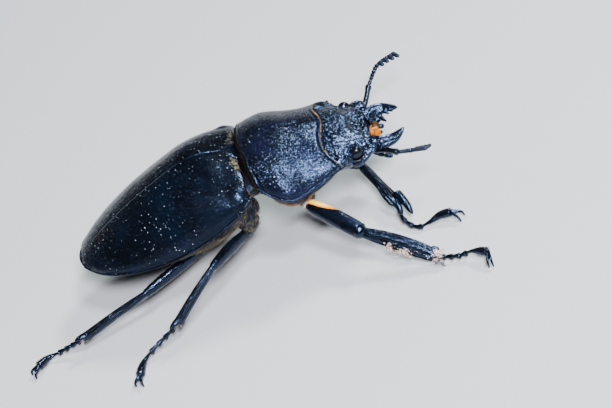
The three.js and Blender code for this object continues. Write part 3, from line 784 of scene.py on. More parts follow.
def wing_sheet(side, rows=220, columns=112):
    """The outer face of one wing case, from the suture over the dome to the fold under its side edge."""
    t = np.linspace(0, 0.997, rows)
    s = (WING["length"] * (1 - (1 - t) ** 1.6))[:, None]
    x = WING["start"] - s
    w = wing_half_width(s)
    h = wing_rise(s)
    edge = wing_margin(s)
    seam = settings().seam_width / MM
    inner = np.minimum(np.maximum(seam / 2, scutellum_half_width(x) + 0.04), 0.3 * w)
    first = np.arcsin(inner / w)
    turn = first + (math.pi / 2 - first) * np.linspace(0, 1, columns)[None] ** 0.9
    y = w * np.sin(turn)
    z = edge + h * np.cos(turn)
    bead = np.linspace(*BEAD_ARC, 8)[None]
    thin = np.clip(w / 3, 0.1, 1)
    y_bead = w - 0.03 + WING["bead"] * thin * np.cos(bead)
    z_bead = edge - 0.06 + WING["bead"] * thin * np.sin(bead)
    across = np.linspace(0.15, 1, 8)[None]
    fold = np.minimum(fold_width(s), 0.8 * w)
    y_fold = w - 0.05 - fold * across
    z_fold = edge - 0.18 * thin - 0.35 * fold * across
    ys = np.hstack([y, y_bead, y_fold])
    zs = np.hstack([z, z_bead, z_fold])
    grid = np.stack([np.broadcast_to(x, ys.shape), ys, zs], -1)
    normals = grid_normals(grid, WING["middle"])
    height = np.zeros(ys.shape)
    on_dome = height[:, :columns]
    share = np.clip((turn - first) / (math.pi / 2 - first), 0, 1)
    fades = smooth(0.02, 0.12, share) * (1 - smooth(0.82, 0.97, share))
    fades = fades * (smooth(0.2, 2.0, s) * (1 - smooth(14.5, 19.0, s)))
    # Faint ridges along the dome, the lip of the seam, the shoulder, the front edge's swelling and the
    # gutter beside the bead.
    on_dome += 0.004 * np.cos(2 * math.pi * WING["ridges"] * share) * fades
    on_dome += 0.014 * hump(y - inner, 0.10, 0.06) * (1 - smooth(3.0, 9.0, s))
    on_dome += 0.2 * hump(s, 1.0, 0.75) * hump(y, 5.9, 0.6)
    on_dome += 0.22 * (1 - smooth(0.0, 1.6, s)) * hump(y, 3.6, 1.9)
    on_dome += 0.025 * hump(share, 0.97, 0.02) - 0.02 * hump(share, 0.93, 0.025)
    height += 0.03 * clouds(grid.reshape(-1, 3), 2.6).reshape(height.shape)
    grid = grid + normals * height[..., None]
    front = rolled(grid[::-1], normals[::-1], 0.22, turn=2.2)[::-1]
    return front if side == "left" else front * (1, -1, 1)


def plate_thickness():
    """Thickness of the horn plates, in millimetres."""
    return settings().plate_thickness / MM


def make_wing_cases():
    for side in ("right", "left"):
        grid = wing_sheet(side)
        plate = Form().sheet(grid if side == "right" else grid[:, ::-1])
        plate = plate.outward(np.multiply(WING["middle"], (1, 0, 1))).shelled(plate_thickness())
        piece(f"wing_case_{side}", plate, material("wing_horn"), "shell", f"elytron_{side}")


def dome_height(x, y):
    """Height of the wing cases' dome over a place of the body."""
    s = np.maximum(WING["start"] - x, 0)
    share = np.clip(np.abs(y) / wing_half_width(s), 0, 1)
    return wing_margin(s) + wing_rise(s) * np.sqrt(1 - share ** 2)


def make_scutellum():
    rows, columns = 40, 33
    x = (SCUTELLUM["front"] - np.linspace(0.0, 0.985, rows) * SCUTELLUM["length"])[:, None]
    across = np.linspace(-1, 1, columns)[None]
    y = scutellum_half_width(x) * across
    z = dome_height(x, y) + 0.03 - 0.3 * np.maximum(x - WING["start"], 0) ** 1.3 - 0.14 * np.abs(across) ** 8
    plate = Form().sheet(np.stack([np.broadcast_to(x, y.shape), y, z], -1))
    plate.points[:, 2] += 0.025 * clouds(plate.points, 0.5) - 0.02 * pits(plate.points, 0.2)
    plate = plate.outward(WING["middle"]).shelled(SCUTELLUM["thickness"])
    piece("scutellum_plate", plate, material("wing_horn"), "shell", "scutellum")


# ---------------------------------------------------------------- prothorax
pronotum_half_width = profile((0, 5.65), (0.1, 6.4), (0.32, 7.38), (0.6, 6.53), (0.85, 5.98), (1, 5.77))
pronotum_rise = profile((0, 2.86), (0.15, 4.12), (0.45, 4.6), (0.75, 3.68), (1, 2.35))
pronotum_margin = profile((0, 1.7), (0.15, 0.6), (0.4, -0.2), (0.7, -0.3), (1, 0.28))
pronotum_belly = profile((0, 2.85), (0.3, 3.0), (0.6, 2.6), (1, 1.9))


def pronotum_x(u, across):
    """Place along the body, from the hind edge at u = 0 to the bowed front edge at u = 1."""
    hind = PRONOTUM["hind_angle"] * across ** 2
    front = PRONOTUM["length"] + PRONOTUM["front_angle"] * np.abs(across) ** 6 \
        + PRONOTUM["front_lobe"] * hump(across, 0, 0.35)
    return hind + (front - hind) * u


def pronotum_grid(rows=140, columns=220):
    """The outer face of the prothorax's shield: dome, side beads and the folds under them. Also gives the
    columns that make up the dome."""
    u = np.linspace(0, 1, rows)[:, None]
    turn = np.linspace(0, math.pi, columns)[None]
    across = np.cos(turn)
    half = pronotum_half_width(u)
    edge = pronotum_margin(u)
    y = across * half
    z = edge + pronotum_rise(u) * np.maximum(np.sin(turn), 0) ** PRONOTUM["slope"]
    bead = np.linspace(*BEAD_ARC, 8)[None]
    y_bead = half - 0.02 + PRONOTUM["bead"] * np.cos(bead)
    z_bead = edge - 0.05 + PRONOTUM["bead"] * np.sin(bead)
    inward = np.linspace(0.12, 1, 10)[None]
    y_fold = half - 0.05 - 1.1 * inward
    z_fold = edge - 0.16 - 0.12 * inward
    left = np.hstack([y_fold[:, ::-1], y_bead[:, ::-1]])
    z_side = np.hstack([z_fold[:, ::-1], z_bead[:, ::-1]])
    share = np.hstack([left / half, across * np.ones_like(u), -left[:, ::-1] / half])
    x = pronotum_x(u, np.clip(share, -1, 1))
    grid = np.stack([x, np.hstack([left, y, -left[:, ::-1]]), np.hstack([z_side, z, z_side[:, ::-1]])], -1)
    side = left.shape[1]
    return grid, slice(side, side + columns)


def make_pronotum():
    grid = pronotum_grid()[0]
    normals = grid_normals(grid, PRONOTUM["middle"])
    points = grid.reshape(-1, 3)
    rows, columns = grid.shape[:2]
    x, y = grid[..., 0], np.abs(grid[..., 1])
    u = np.linspace(0, 1, rows)[:, None]
    to_front = (1 - u) * PRONOTUM["length"]
    to_hind = u * PRONOTUM["length"]
    rise = grid[..., 2] - pronotum_margin(u)
    by_side = y > 0.8 * pronotum_half_width(u)
    inside = smooth(0.15, 0.6, to_front) * smooth(0.1, 0.5, to_hind)
    height = -0.034 * pits(points, 0.27).reshape(rows, columns) * (0.45 + 0.55 * smooth(2.5, 5.0, y)) * inside
    height += 0.05 * clouds(points, 2.2).reshape(rows, columns) * inside
    # A bead and a gutter along the front, hind and side edges, two dents near each side, and the furrow.
    height += 0.055 * hump(to_front, 0.10, 0.11) - 0.03 * hump(to_front, 0.33, 0.12)
    height += 0.05 * hump(to_hind, 0.12, 0.12) - 0.03 * hump(to_hind, 0.36, 0.12)
    height += (0.045 * hump(rise, 0.06, 0.08) - 0.035 * hump(rise, 0.26, 0.1)) * by_side
    height -= 0.16 * hump(x, 3.6, 0.6) * hump(y, 5.6, 0.5) + 0.06 * hump(x, 2.0, 0.8) * hump(y, 5.6, 0.5)
    height -= 0.04 * hump(y, 0, 0.22) * smooth(1.0, 2.5, x) * (1 - smooth(5.0, 6.8, x))
    grid = grid + normals * height[..., None]
    whole = rolled(grid, normals, 0.13, turn=2.3)
    behind_normals = np.concatenate([normals, np.repeat(normals[-1:], len(whole) - rows, 0)])
    whole = rolled(whole[::-1], behind_normals[::-1], 0.14, turn=2.3)
    plate = Form().sheet(whole).outward(PRONOTUM["middle"]).shelled(plate_thickness())
    piece("pronotum_shield", plate, material("front_horn"), "shell", "prothorax")


def prosternum_rings(rows=90, sides=120):
    """The underside of the prothorax, with the raised strip between the front coxae."""
    u = np.linspace(0, 1, rows)[:, None]
    turn = np.linspace(0, 2 * math.pi, sides, endpoint=False)[None]
    above = np.sin(turn) >= 0
    across = np.cos(turn) * np.where(above, 1, np.abs(np.cos(turn)) ** 0.3)
    inset = 0.94 * (0.82 + 0.18 * smooth(0, 0.12, u)) * (0.95 + 0.05 * smooth(0, 0.1, 1 - u))
    x = pronotum_x(0.02 + 0.95 * u, across)
    rise = np.where(above, pronotum_rise(u) * 0.86, pronotum_belly(u) * (0.8 + 0.2 * smooth(0, 0.15, u)))
    power = np.where(above, PRONOTUM["slope"], 0.75)
    z = pronotum_margin(u) - 0.22 + (rise - np.where(above, 0, 0.25)) * signed_power(np.sin(turn), power)
    y = across * pronotum_half_width(u) * inset
    return np.stack([x, y, z], -1)


def make_prosternum():
    under = Form().loft(prosternum_rings())
    x, y, z = under.points.T
    low = smooth(-1.0, -2.5, z)
    height = low * (0.25 * hump(y, 0, 0.45) - 0.2 * hump(np.abs(y), 1.0, 0.35)) * (1 - smooth(4.5, 6.5, x))
    height += 0.06 * clouds(under.points, 1.3) - 0.03 * pits(under.points, 0.3)
    piece("prosternum", under.raised(height), material("belly_horn"), "belly", "prothorax")


# ---------------------------------------------------------------- hind body
belly_depth = profile((0, 2.3), (1.5, 3.7), (5, 4.1), (9, 3.2), (14, 2.5), (18, 1.5), (20.4, 0.8))
PLATE_LENGTH = 2.25  # of one belly plate
FLANK = [  # the swellings above the middle coxa: centre and size
    ((-2.6, -4.45, -1.6), (1.5, 0.95, 1.6)),
    ((-1.65, -4.1, -1.0), (1.05, 0.85, 1.35)),
    ((-2.45, -4.4, -2.5), (1.25, 0.85, 1.1)),
]


def trunk_rings(first, last, rows, sides=120):
    """The trunk under the wing cases, between two distances behind their front edge."""
    s = np.linspace(first, last, rows)[:, None]
    turn = np.linspace(0, 2 * math.pi, sides, endpoint=False)[None]
    neck = 1 - 0.16 * np.clip(1 - s / 1.4, 0, 1) ** 2
    inset = WING["inset"] - 0.7 * (1 - smooth(-0.1, 0.9, s))
    half = np.maximum(wing_half_width(np.maximum(s, 0)) - inset, 0.5) * neck
    rise = np.maximum(wing_rise(s) - inset, 0.3) * neck
    above = np.sin(turn) > 0
    up = signed_power(np.sin(turn), np.where(above, 1, BOXY))
    z = wing_margin(s) + up * np.where(above, rise, belly_depth(s))
    y = half * signed_power(np.cos(turn), np.where(above, 1, 0.92))
    return np.stack([np.broadcast_to(WING["start"] - s, y.shape), y, z], -1)


THORAX_MIDDLE = (-4, 0, -1)
ABDOMEN_START = WING["thorax_end"] - 0.3


def thorax_rings():
    return trunk_rings(-0.75, WING["thorax_end"], 130)


def abdomen_rings():
    return trunk_rings(ABDOMEN_START, WING["length"] - 0.9, 170)


def make_hind_thorax():
    trunk = Form().loft(thorax_rings())
    for side in ("right", "left"):
        for centre, size in FLANK:
            trunk.ball(sided(centre, side), size)
    trunk = trunk.fused(0.09, 3)
    x, y, z = trunk.points.T
    side = np.abs(y)
    low = smooth(0.0, -1.5, z)
    # Grooves between the plates of the breast, then the swelling before the hind coxae.
    height = -0.16 * low * hump(y, 0, 0.14) * (1 - smooth(-2.6, -1.2, x))
    height -= 0.14 * low * hump(x, -1.9 + 0.12 * side, 0.13)
    slanting = hump(side - 0.18 * (x + 4), 4.9, 0.16) * (1 - smooth(-2.2, -1.2, x))
    height -= 0.16 * slanting * smooth(0.9, -0.4, z)
    height -= 0.10 * hump(z, 0.25 + 0.12 * x, 0.12)
    height += 0.22 * low * hump(x, -5.2, 1.7) * hump(side, 1.9, 1.3)
    height += 0.05 * clouds(trunk.points, 1.2) - 0.035 * pits(trunk.points, 0.24) * smooth(1.5, 0.5, z)
    piece("hind_thorax", trunk.raised(height), material("belly_horn"), "belly", "pterothorax")


def make_hind_body():
    trunk = Form().loft(abdomen_rings())
    x, y, z = trunk.points.T
    along = (WING["start"] - x - ABDOMEN_START) / PLATE_LENGTH
    part = along - np.floor(along)
    low = smooth(0.4, -0.6, z - wing_margin(WING["start"] - x))
    # Each belly plate rises towards its hind edge and drops to the next, and a groove runs along its side.
    height = low * (0.10 * part ** 2 - 0.12 * hump(part, 0.0, 0.06) - 0.08 * hump(part, 1.0, 0.04))
    height -= 0.10 * low * hump(np.abs(y), 0.82 * wing_half_width(WING["start"] - x) - 0.6, 0.12)
    height += 0.03 * clouds(trunk.points, 0.9) - 0.03 * pits(trunk.points, 0.22) * low
    piece("hind_body", trunk.raised(height), material("belly_horn"), "belly", "abdomen")


# ---------------------------------------------------------------- head
head_half_width = profile((7.2, 4.4), (8.5, 4.6), (9.7, 4.65), (10.6, 4.25), (11.6, 4.0), (12.2, 3.7),
                          (12.75, 3.1))
head_top = profile((7.2, 2.1), (8.6, 2.0), (10, 1.6), (11.6, 0.8), (12.75, -0.05))
head_margin = profile((7.2, 0), (9, -0.1), (11, -0.4), (13.4, -0.95))
head_bottom = profile((7.2, -2.3), (10, -2.6), (12, -2.5), (13.4, -1.7))


def head_rings(rows=60, sides=96):
    x = np.linspace(7.0, 12.75, rows)[:, None]
    turn = np.linspace(0, 2 * math.pi, sides, endpoint=False)[None]
    up = signed_power(np.sin(turn), BOXY)
    z = head_margin(x) + up * np.abs(np.where(up > 0, head_top(x), head_bottom(x)) - head_margin(x))
    y = head_half_width(x) * signed_power(np.cos(turn), BOXY)
    return np.stack([np.broadcast_to(x, y.shape), y, z], -1)


def eye_distance(points, side):
    """Distance from an eye's middle, where 1 is the eye's own surface."""
    return np.linalg.norm((points - sided(EYE["centre"], side)) / EYE["size"], axis=1)


def make_head():
    head = Form().loft(head_rings())
    for side in ("right", "left"):
        head.ball(sided(CANTHUS["centre"], side), CANTHUS["size"])
        for centre, size in HEAD_LUMPS:
            head.ball(sided(centre, side), size)
        rim = course(sided(CANTHUS_RIM, side), 40)
        head.loft(sweep(rim, (0, 0, 1), 0.3 * closing(np.linspace(0, 1, 40)), 0.24, 16))
    for centre, size in HEAD_MIDDLE_LUMPS:
        head.ball(centre, size)
    head = head.fused(0.06, 3)
    p = head.points
    x, y, z = p.T
    side = np.abs(y)
    near_eye = np.minimum(eye_distance(p, "right"), eye_distance(p, "left"))
    above = smooth(-0.9, 0.2, z)
    # The groove round each eye and the ridge behind it, the brow's hollow between two bosses, and the
    # groove behind the front edge.
    height = -0.20 * hump(near_eye, 1.08, 0.11)
    height += 0.09 * hump(near_eye, 1.42, 0.16) * smooth(11.6, 10.2, x)
    height -= 0.22 * above * hump(x, 11.9, 0.8) * hump(y, 0, 1.5)
    height += 0.12 * above * hump(x, 10.9, 0.5) * hump(side, 1.3, 0.7)
    height -= 0.12 * above * hump(x, 12.35, 0.16) * hump(y, 0, 1.9)
    coarse = 0.45 + 0.75 * smooth(2.2, 3.8, side) + 0.3 * smooth(11.0, 12.5, x)
    rough = above * smooth(1.02, 1.2, near_eye) + 0.4 * (1 - above)
    height -= 0.062 * pits(p, 0.25) * coarse * rough
    height += 0.03 * clouds(p, 0.8) * rough
    piece("head_capsule", head.raised(height), material("head_horn"), "shell", "head")


def make_eyes():
    for side in ("right", "left"):
        eye = Form().ball(sided(EYE["centre"], side), np.array(EYE["size"]) * EYE_SHARE, 48, 64)
        piece(f"eye_dome_{side}", eye, material("eye_glass"), "eye", f"eye_{side}")


jaw_width = profile((0, 0.95), (0.35, 0.78), (0.65, 0.55), (0.85, 0.32), (1, 0.07))
jaw_depth = profile((0, 0.85), (0.35, 0.72), (0.65, 0.5), (0.85, 0.3), (1, 0.07))


def make_jaws():
    for side in ("right", "left"):
        t = np.linspace(0, 1, 80)
        inward = -1 if side == "left" else 1

        def keeled(t, angle):
            """A sharp keel outside and on top, and a hollowed inner face."""
            out = np.cos(angle) * -inward
            top = hump(angle, math.pi / 2, 0.2) * smooth(0.1, 0.3, t)
            hollow = hump(angle, math.pi / 2 - 0.95 * inward, 0.5) * smooth(0.15, 0.4, t)
            outer = hump(angle, math.pi / 2 + 0.7 * inward, 0.35) * smooth(0.2, 0.45, t)
            return 1 + 0.12 * np.clip(out, 0, 1) ** 6 + 0.42 * top - 0.2 * hollow - 0.14 * outer

        line = course(sided(JAW_PATH, side), 80)
        ends = closing(t, 0.02, 0.02)
        jaw = Form().loft(sweep(line, (0, 1, 0), jaw_width(t) * ends, jaw_depth(t) * ends, 40, keeled))
        for base, tip, radius in JAW_TEETH:
            spike(jaw, sided(base, side), sided(tip, side), radius, point=0.06)
        jaw.ball(sided(JAW_ROOT["centre"], side), JAW_ROOT["size"], 16, 20)
        jaw = jaw.fused(0.045, 2)
        x = jaw.points[:, 0]
        rough = 1 - 0.6 * smooth(14.6, 15.6, x)
        height = -0.032 * pits(jaw.points, 0.22) * rough + 0.012 * clouds(jaw.points, 0.7)
        piece(f"jaw_{side}", jaw.raised(height), material("jaw_horn"), "jaw", f"mandible_{side}")


def jointed(line, joints, radius, waist, sides=20):
    """A limb of beads: radius(t) along it, pinched to waist of that at each joint."""
    t = np.linspace(0, 1, len(line))
    pinch = np.ones_like(t)
    for joint in joints:
        pinch *= 1 - (1 - waist) * hump(t, joint, 0.022)
    reach = radius(t) * pinch * closing(t, 0.03, 0.06)
    return sweep(line, (0, 0, 1), reach, reach, sides)


def make_palps():
    stout = profile((0, 0.2), (0.3, 0.26), (0.55, 0.22), (0.85, 0.29), (1, 0.24))
    slim = profile((0, 0.2), (0.5, 0.26), (1, 0.2))
    for side in ("right", "left"):
        palp = Form().loft(jointed(course(sided(PALP_PATH, side), 90), (0.28, 0.58), stout, 0.6))
        piece(f"palp_upper_{side}", palp, material("feeler_horn"), "feeler", f"palp_{side}")
        palp = Form().loft(jointed(course(sided(LABIAL_PALP_PATH, side), 60), (0.45,), slim, 0.6))
        piece(f"palp_lower_{side}", palp, material("feeler_horn"), "feeler", f"labial_palp_{side}")


def make_lip():
    lip = Form().ball((13.25, 0, -1.35), (0.5, 1.0, 0.26), 40, 60)
    x, y = lip.points[:, :2].T
    height = 0.05 * clouds(lip.points, 0.4) - 0.12 * hump(y, 0, 0.14) * smooth(13.2, 13.7, x)
    piece("lip_plate", lip.raised(height), material("lip_horn"), "lip", "labrum")


# ---------------------------------------------------------------- feelers
STALK_WIDTH = profile((0, 0.32), (0.06, 0.28), (0.5, 0.3), (0.8, 0.3), (0.93, 0.36), (1, 0.3))
LINK_ENDS = np.array([0.0, 0.24, 0.4, 0.56, 0.71, 0.86, 1.001])  # of the links between elbow and comb
COMB_LEAVES = 4


def stalk_line(held, count):
    """The middle line of a feeler's stalk, from its root to its elbow."""
    root, elbow = np.array(held["root"]), np.array(held["elbow"])
    return course([root, (root + elbow) / 2 + (0.15, 0, 0.12), elbow], count)


def lash_line(held, count):
    """The middle line of a feeler's links and comb, from its elbow to its tip."""
    return course([held["elbow"], held["middle"], held["tip"]], count)


def stalk_form(held):
    t = np.linspace(0, 1, 90)
    reach = STALK_WIDTH(t) * closing(t, 0.03, 0.05)
    stalk = Form().loft(sweep(stalk_line(held, 90), (0, 0, 1), reach, reach, 28))
    return stalk.raised(0.012 * clouds(stalk.points, 0.3) - 0.012 * pits(stalk.points, 0.2))


def links_form(line, comb):
    """The six round links between elbow and comb."""
    t = np.linspace(0, 1, len(line))
    link = np.clip(np.searchsorted(LINK_ENDS, t, "right") - 1, 0, len(LINK_ENDS) - 2)
    share = (t - LINK_ENDS[link]) / (LINK_ENDS[link + 1] - LINK_ENDS[link])
    reach = 0.13 + (0.10 + 0.012 * link) * np.sin(math.pi * np.clip(share, 0, 1) ** 1.3) ** 0.6
    return Form().loft(sweep(line, comb, reach, reach * 0.9, 24))


def comb_form(line, comb):
    """The club: a core with leaves that stand out on one side, each a little longer than the last."""
    t = np.linspace(0, 1, len(line))
    core = (0.2 + 0.03 * np.cos(2 * math.pi * 9 * t)) * closing(t, 0.03, 0.05)
    club = Form().loft(sweep(line, comb, core, core, 18))
    comb = unit(comb)
    for leaf in range(COMB_LEAVES):
        place = line[int((0.15 + 0.253 * leaf) * (len(line) - 1))]
        reach = 0.78 + 0.11 * leaf
        spine = course([place - 0.16 * comb, place + comb * reach * 0.6, place + comb * reach], 16)
        u = np.linspace(0, 1, 16)
        wide = (0.30 - 0.08 * u) * closing(u, 0.2, 0.25)
        club.loft(sweep(spine, line[-1] - line[0], wide, wide * 0.8, 18))
    return club.fused(0.04, 2)


def make_feelers():
    for side, held in FEELERS.items():
        lash = lash_line(held, 240)
        middle = len(lash) // 2
        links = links_form(lash[:middle + 2], held["comb"])
        club = comb_form(lash[middle - 2:], held["comb"])
        piece(f"feeler_stalk_{side}", stalk_form(held), material("feeler_horn"), "feeler",
              f"antenna_scape_{side}")
        piece(f"feeler_lash_{side}", links, material("feeler_horn"), "feeler", f"antenna_funicle_{side}")
        piece(f"feeler_club_{side}", club, material("club_horn"), "feeler", f"antenna_club_{side}")


# ---------------------------------------------------------------- legs
# coxa is (half width, half thickness). femur and tibia are half widths along them, and flat is a shin's
# thickness as a share of its width. teeth are (share of the shin, height) and prong is the longer prong.
LEG_SIZES = {
    "front": {
        "coxa": (1.35, 1.15), "femur": profile((0, 0.55), (0.15, 0.76), (0.5, 0.92), (0.8, 0.94), (1, 0.9)),
        "tibia": profile((0, 0.6), (0.15, 0.7), (0.5, 0.78), (0.8, 0.84), (1, 0.86)), "flat": 0.64,
        "teeth": [(0.34, 0.10), (0.48, 0.18), (0.62, 0.22), (0.76, 0.28), (0.9, 0.36)], "prong": 1.3,
    },
    "middle": {
        "coxa": (1.22, 1.02), "femur": profile((0, 0.5), (0.15, 0.62), (0.5, 0.76), (0.85, 0.66), (1, 0.56)),
        "tibia": profile((0, 0.42), (0.4, 0.5), (1, 0.58)), "flat": 0.8,
        "teeth": [(0.55, 0.3)], "prong": 0.75,
    },
}
LEG_SIZES["hind"] = {**LEG_SIZES["middle"], "teeth": [(0.5, 0.28)]}
FOOT = {"joint": 0.14, "neck": 0.2, "knob": 0.34, "last_knob": 0.48}  # joint as a share of the length
FEMUR_FLAT = 0.8
SHIN_RIDGES = 9
FOOT_JOINTS = 4


def leg_size(name):
    """The sizes that the front, middle or hind pair of legs shares."""
    return LEG_SIZES[name.split("_")[0]]


def shin_axes(name):
    """A shin's knee and ankle, and the ways along it, out to its teeth and across it."""
    knee, ankle, outer = (np.array(LEGS[name][part]) for part in ("knee", "ankle", "outer"))
    ahead = unit(ankle - knee)
    flat = unit(outer - (outer @ ahead) * ahead)
    return knee, ankle, ahead, flat, np.cross(ahead, flat)


def leg_lines(name):
    """The middle lines of a leg's coxa, femur, tibia and foot. The shin starts inside the thigh's end."""
    leg = LEGS[name]
    hip, knee, ankle = (np.array(leg[joint]) for joint in ("hip", "knee", "ankle"))
    outer = np.array(leg["outer"])
    return {
        "coxa": course([leg["coxa"], hip], 40),
        "femur": course([hip, (hip + knee) / 2 + (0, 0, 0.1), knee], 90),
        "tibia": course([knee - 0.5 * unit(ankle - knee), (knee + ankle) / 2 + 0.15 * outer, ankle], 110),
        "foot": course([ankle, *leg["foot"], leg["pad"]], 220),
    }


def coxa_rings(name):
    wide, thick = leg_size(name)["coxa"]
    belly = np.sin(math.pi * np.linspace(0.28, 0.86, 40)) * closing(np.linspace(0, 1, 40), 0.02, 0.25)
    return sweep(leg_lines(name)["coxa"], (0, 0, 1), wide * belly, thick * belly, 40)


def femur_rings(name):
    t = np.linspace(0, 1, 90)
    reach = leg_size(name)["femur"](t) * closing(t, 0.06, 0.02)

    def grooved(t, angle):
        """A furrow along the inner edge, where the shin folds in."""
        return 1 - 0.10 * hump(np.cos(angle), -1, 0.16) * smooth(0.45, 0.75, t) + 0.02 * np.cos(2 * angle)

    return sweep(leg_lines(name)["femur"], LEGS[name]["outer"], reach, reach * FEMUR_FLAT, 44, grooved)


def tibia_size(name):
    """Half the width of a shin, as a function of the share of its length."""
    stations = LEGS[name].get("shin")
    return profile(*stations) if stations else leg_size(name)["tibia"]


def tibia_rings(name):
    t = np.linspace(0, 1, 110)
    reach = tibia_size(name)(t) * closing(t, 0.05, 0.03)

    def keeled(t, angle):
        """Long blunt ridges that fade towards the knee."""
        return 1 + 0.1 * np.cos(SHIN_RIDGES * angle) * smooth(0.05, 0.25, t)

    flat = LEGS[name].get("flat", leg_size(name)["flat"])
    return sweep(leg_lines(name)["tibia"], LEGS[name]["outer"], reach, reach * flat, 90, keeled)


def foot_reach(t):
    """Half thickness of a foot: four short cup-shaped joints and a long last one."""
    joint = FOOT["joint"]
    share = t / joint - np.floor(t / joint)
    cup = FOOT["neck"] + (FOOT["knob"] - FOOT["neck"]) * share ** 1.4
    cup *= 1 - 0.45 * smooth(0.84, 1.0, share) - 0.35 * (1 - smooth(0.0, 0.12, share))
    last_start = FOOT_JOINTS * joint
    far = np.clip((t - last_start) / (1 - last_start), 0, 1)
    last = 0.15 + (FOOT["last_knob"] - 0.15) * smooth(0.0, 0.8, far)
    return np.where(t < last_start, cup, last)


def make_coxa(name):
    coxa = Form().loft(coxa_rings(name))
    height = 0.04 * clouds(coxa.points, 0.8) - 0.035 * pits(coxa.points, 0.26)
    t, away = along_line(coxa.points, leg_lines(name)["coxa"])
    spot = 0.5 * smooth(0.72, 0.88, t) * smooth(-0.2, 0.4, away[:, 2]) * name.startswith("front")
    piece(f"leg_{name}_hip", coxa.raised(height), material("leg_horn"), "leg", f"leg_{name}_coxa",
          marks={"spot": spot, "soil": 0 * t})


def along_line(points, line):
    """How far along a line each point is, from 0 to 1, and its direction away from the line."""
    span = line[-1] - line[0]
    t = np.clip((points - line[0]) @ span / (span @ span), 0, 1)
    return t, unit(points - line[(t * (len(line) - 1)).round().astype(int)])


def make_femur(name):
    line = leg_lines(name)["femur"]
    front = name.startswith("front")
    femur = Form().loft(femur_rings(name))
    ahead = unit(line[5] - line[0])
    femur.ball(line[0] + 0.25 * ahead, (0.62, 0.62, 0.6) if front else (0.55, 0.55, 0.52))
    knob = 0.9 * leg_size(name)["femur"](1.0)
    femur.ball(line[-1] - 0.3 * unit(line[-1] - line[-6]), (knob, knob, knob))
    femur = femur.fused(0.06, 2)
    t, away = along_line(femur.points, line)
    # The spot lies on the front upper face and narrows to nothing a little beyond the thigh's middle.
    side = 1 if name.endswith("left") else -1
    face = unit((0.83, -0.2 * side, 0.6))
    narrow = 0.2 + 0.8 * np.clip(t / 0.58, 0, 1) ** 1.2
    spot = np.clip((away @ face - narrow) / 0.4, 0, 1) * smooth(0.03, 0.09, t) * front
    soil = (1 - smooth(0.03, 0.075, t)) * (name == "front_right")
    height = -0.03 * pits(femur.points, 0.3) * smooth(0.1, 0.4, t) + 0.015 * clouds(femur.points, 0.5)
    height -= 0.07 * hump(t, 0.065, 0.025) + 0.05 * hump(t, 0.94, 0.012)
    piece(f"leg_{name}_thigh", femur.raised(height), material("leg_horn"), "leg", f"leg_{name}_femur",
          marks={"spot": spot, "soil": soil})


def make_tibia(name):
    size = leg_size(name)
    leg = LEGS[name]
    knee, ankle, ahead, flat, broad = shin_axes(name)
    wide = tibia_size(name)
    tibia = Form().loft(tibia_rings(name))

    def edge(t, out, forward, sideways=0.0):
        """A place off the toothed edge, t of the way down the shin."""
        return knee + (ankle - knee) * t + flat * (wide(t) + out) + ahead * forward + broad * sideways

    for t, out in leg.get("teeth", size["teeth"]):
        spike(tibia, edge(t, -0.35, -0.25), edge(t, out, 0.8 * out), 0.3, 0.04 * flat - 0.03 * ahead, 0.05)
    prong = size["prong"]
    prongs = leg.get("prongs", [(edge(1, -0.45, -0.8), edge(1, 0.12, prong), 0.42),
                                (edge(1, -1.25, -0.7), edge(1, -1.5, 0.62 * prong), 0.3)])
    for base, tip, radius in prongs:
        line = course([base, (np.array(base) + tip) / 2 + 0.16 * flat, tip], 30)
        t = np.linspace(0, 1, 30)
        reach = radius * (1 - 0.55 * t ** 1.5) * closing(t, 0.05, 0.3)
        tibia.loft(sweep(line, flat if name == "front_left" else broad, reach, 0.7 * reach, 20))
    for sign in (-1, 1):
        spike(tibia, edge(0.97, -0.7, -0.2, 0.3 * sign), edge(0.97, -0.8, 0.42, 0.42 * sign), 0.16)
    tibia = tibia.fused(0.045, 2)
    t, away = along_line(tibia.points, leg_lines(name)["tibia"])
    rows = np.cos(SHIN_RIDGES * np.arctan2(away @ broad, away @ flat))
    height = -0.06 * pits(tibia.points, 0.28) * (0.45 + 0.55 * smooth(0.2, -0.6, rows)) * smooth(0.05, 0.2, t)
    height += 0.012 * clouds(tibia.points, 0.4)
    caked = 0.6 * np.maximum(hump(t, 0.42, 0.06), np.maximum(hump(t, 0.62, 0.08), hump(t, 0.98, 0.07)))
    dirty = {"front_right": caked, "front_left": 0 * t}.get(name, 0.55 * smooth(0.9, 0.98, t))
    below = smooth(0.55, -0.35, away @ unit((0.3, 0.45, 0.85)))
    piece(f"leg_{name}_shin", tibia.raised(height), material("leg_horn"), "leg", f"leg_{name}_tibia",
          marks={"spot": 0 * t, "soil": dirty * below})


DUST_HEAPS = ((0.4, 0.03, 110), (0.6, 0.055, 340))  # share of the shin, spread along it, count of crumbs
ANKLE_CRUMBS = 230


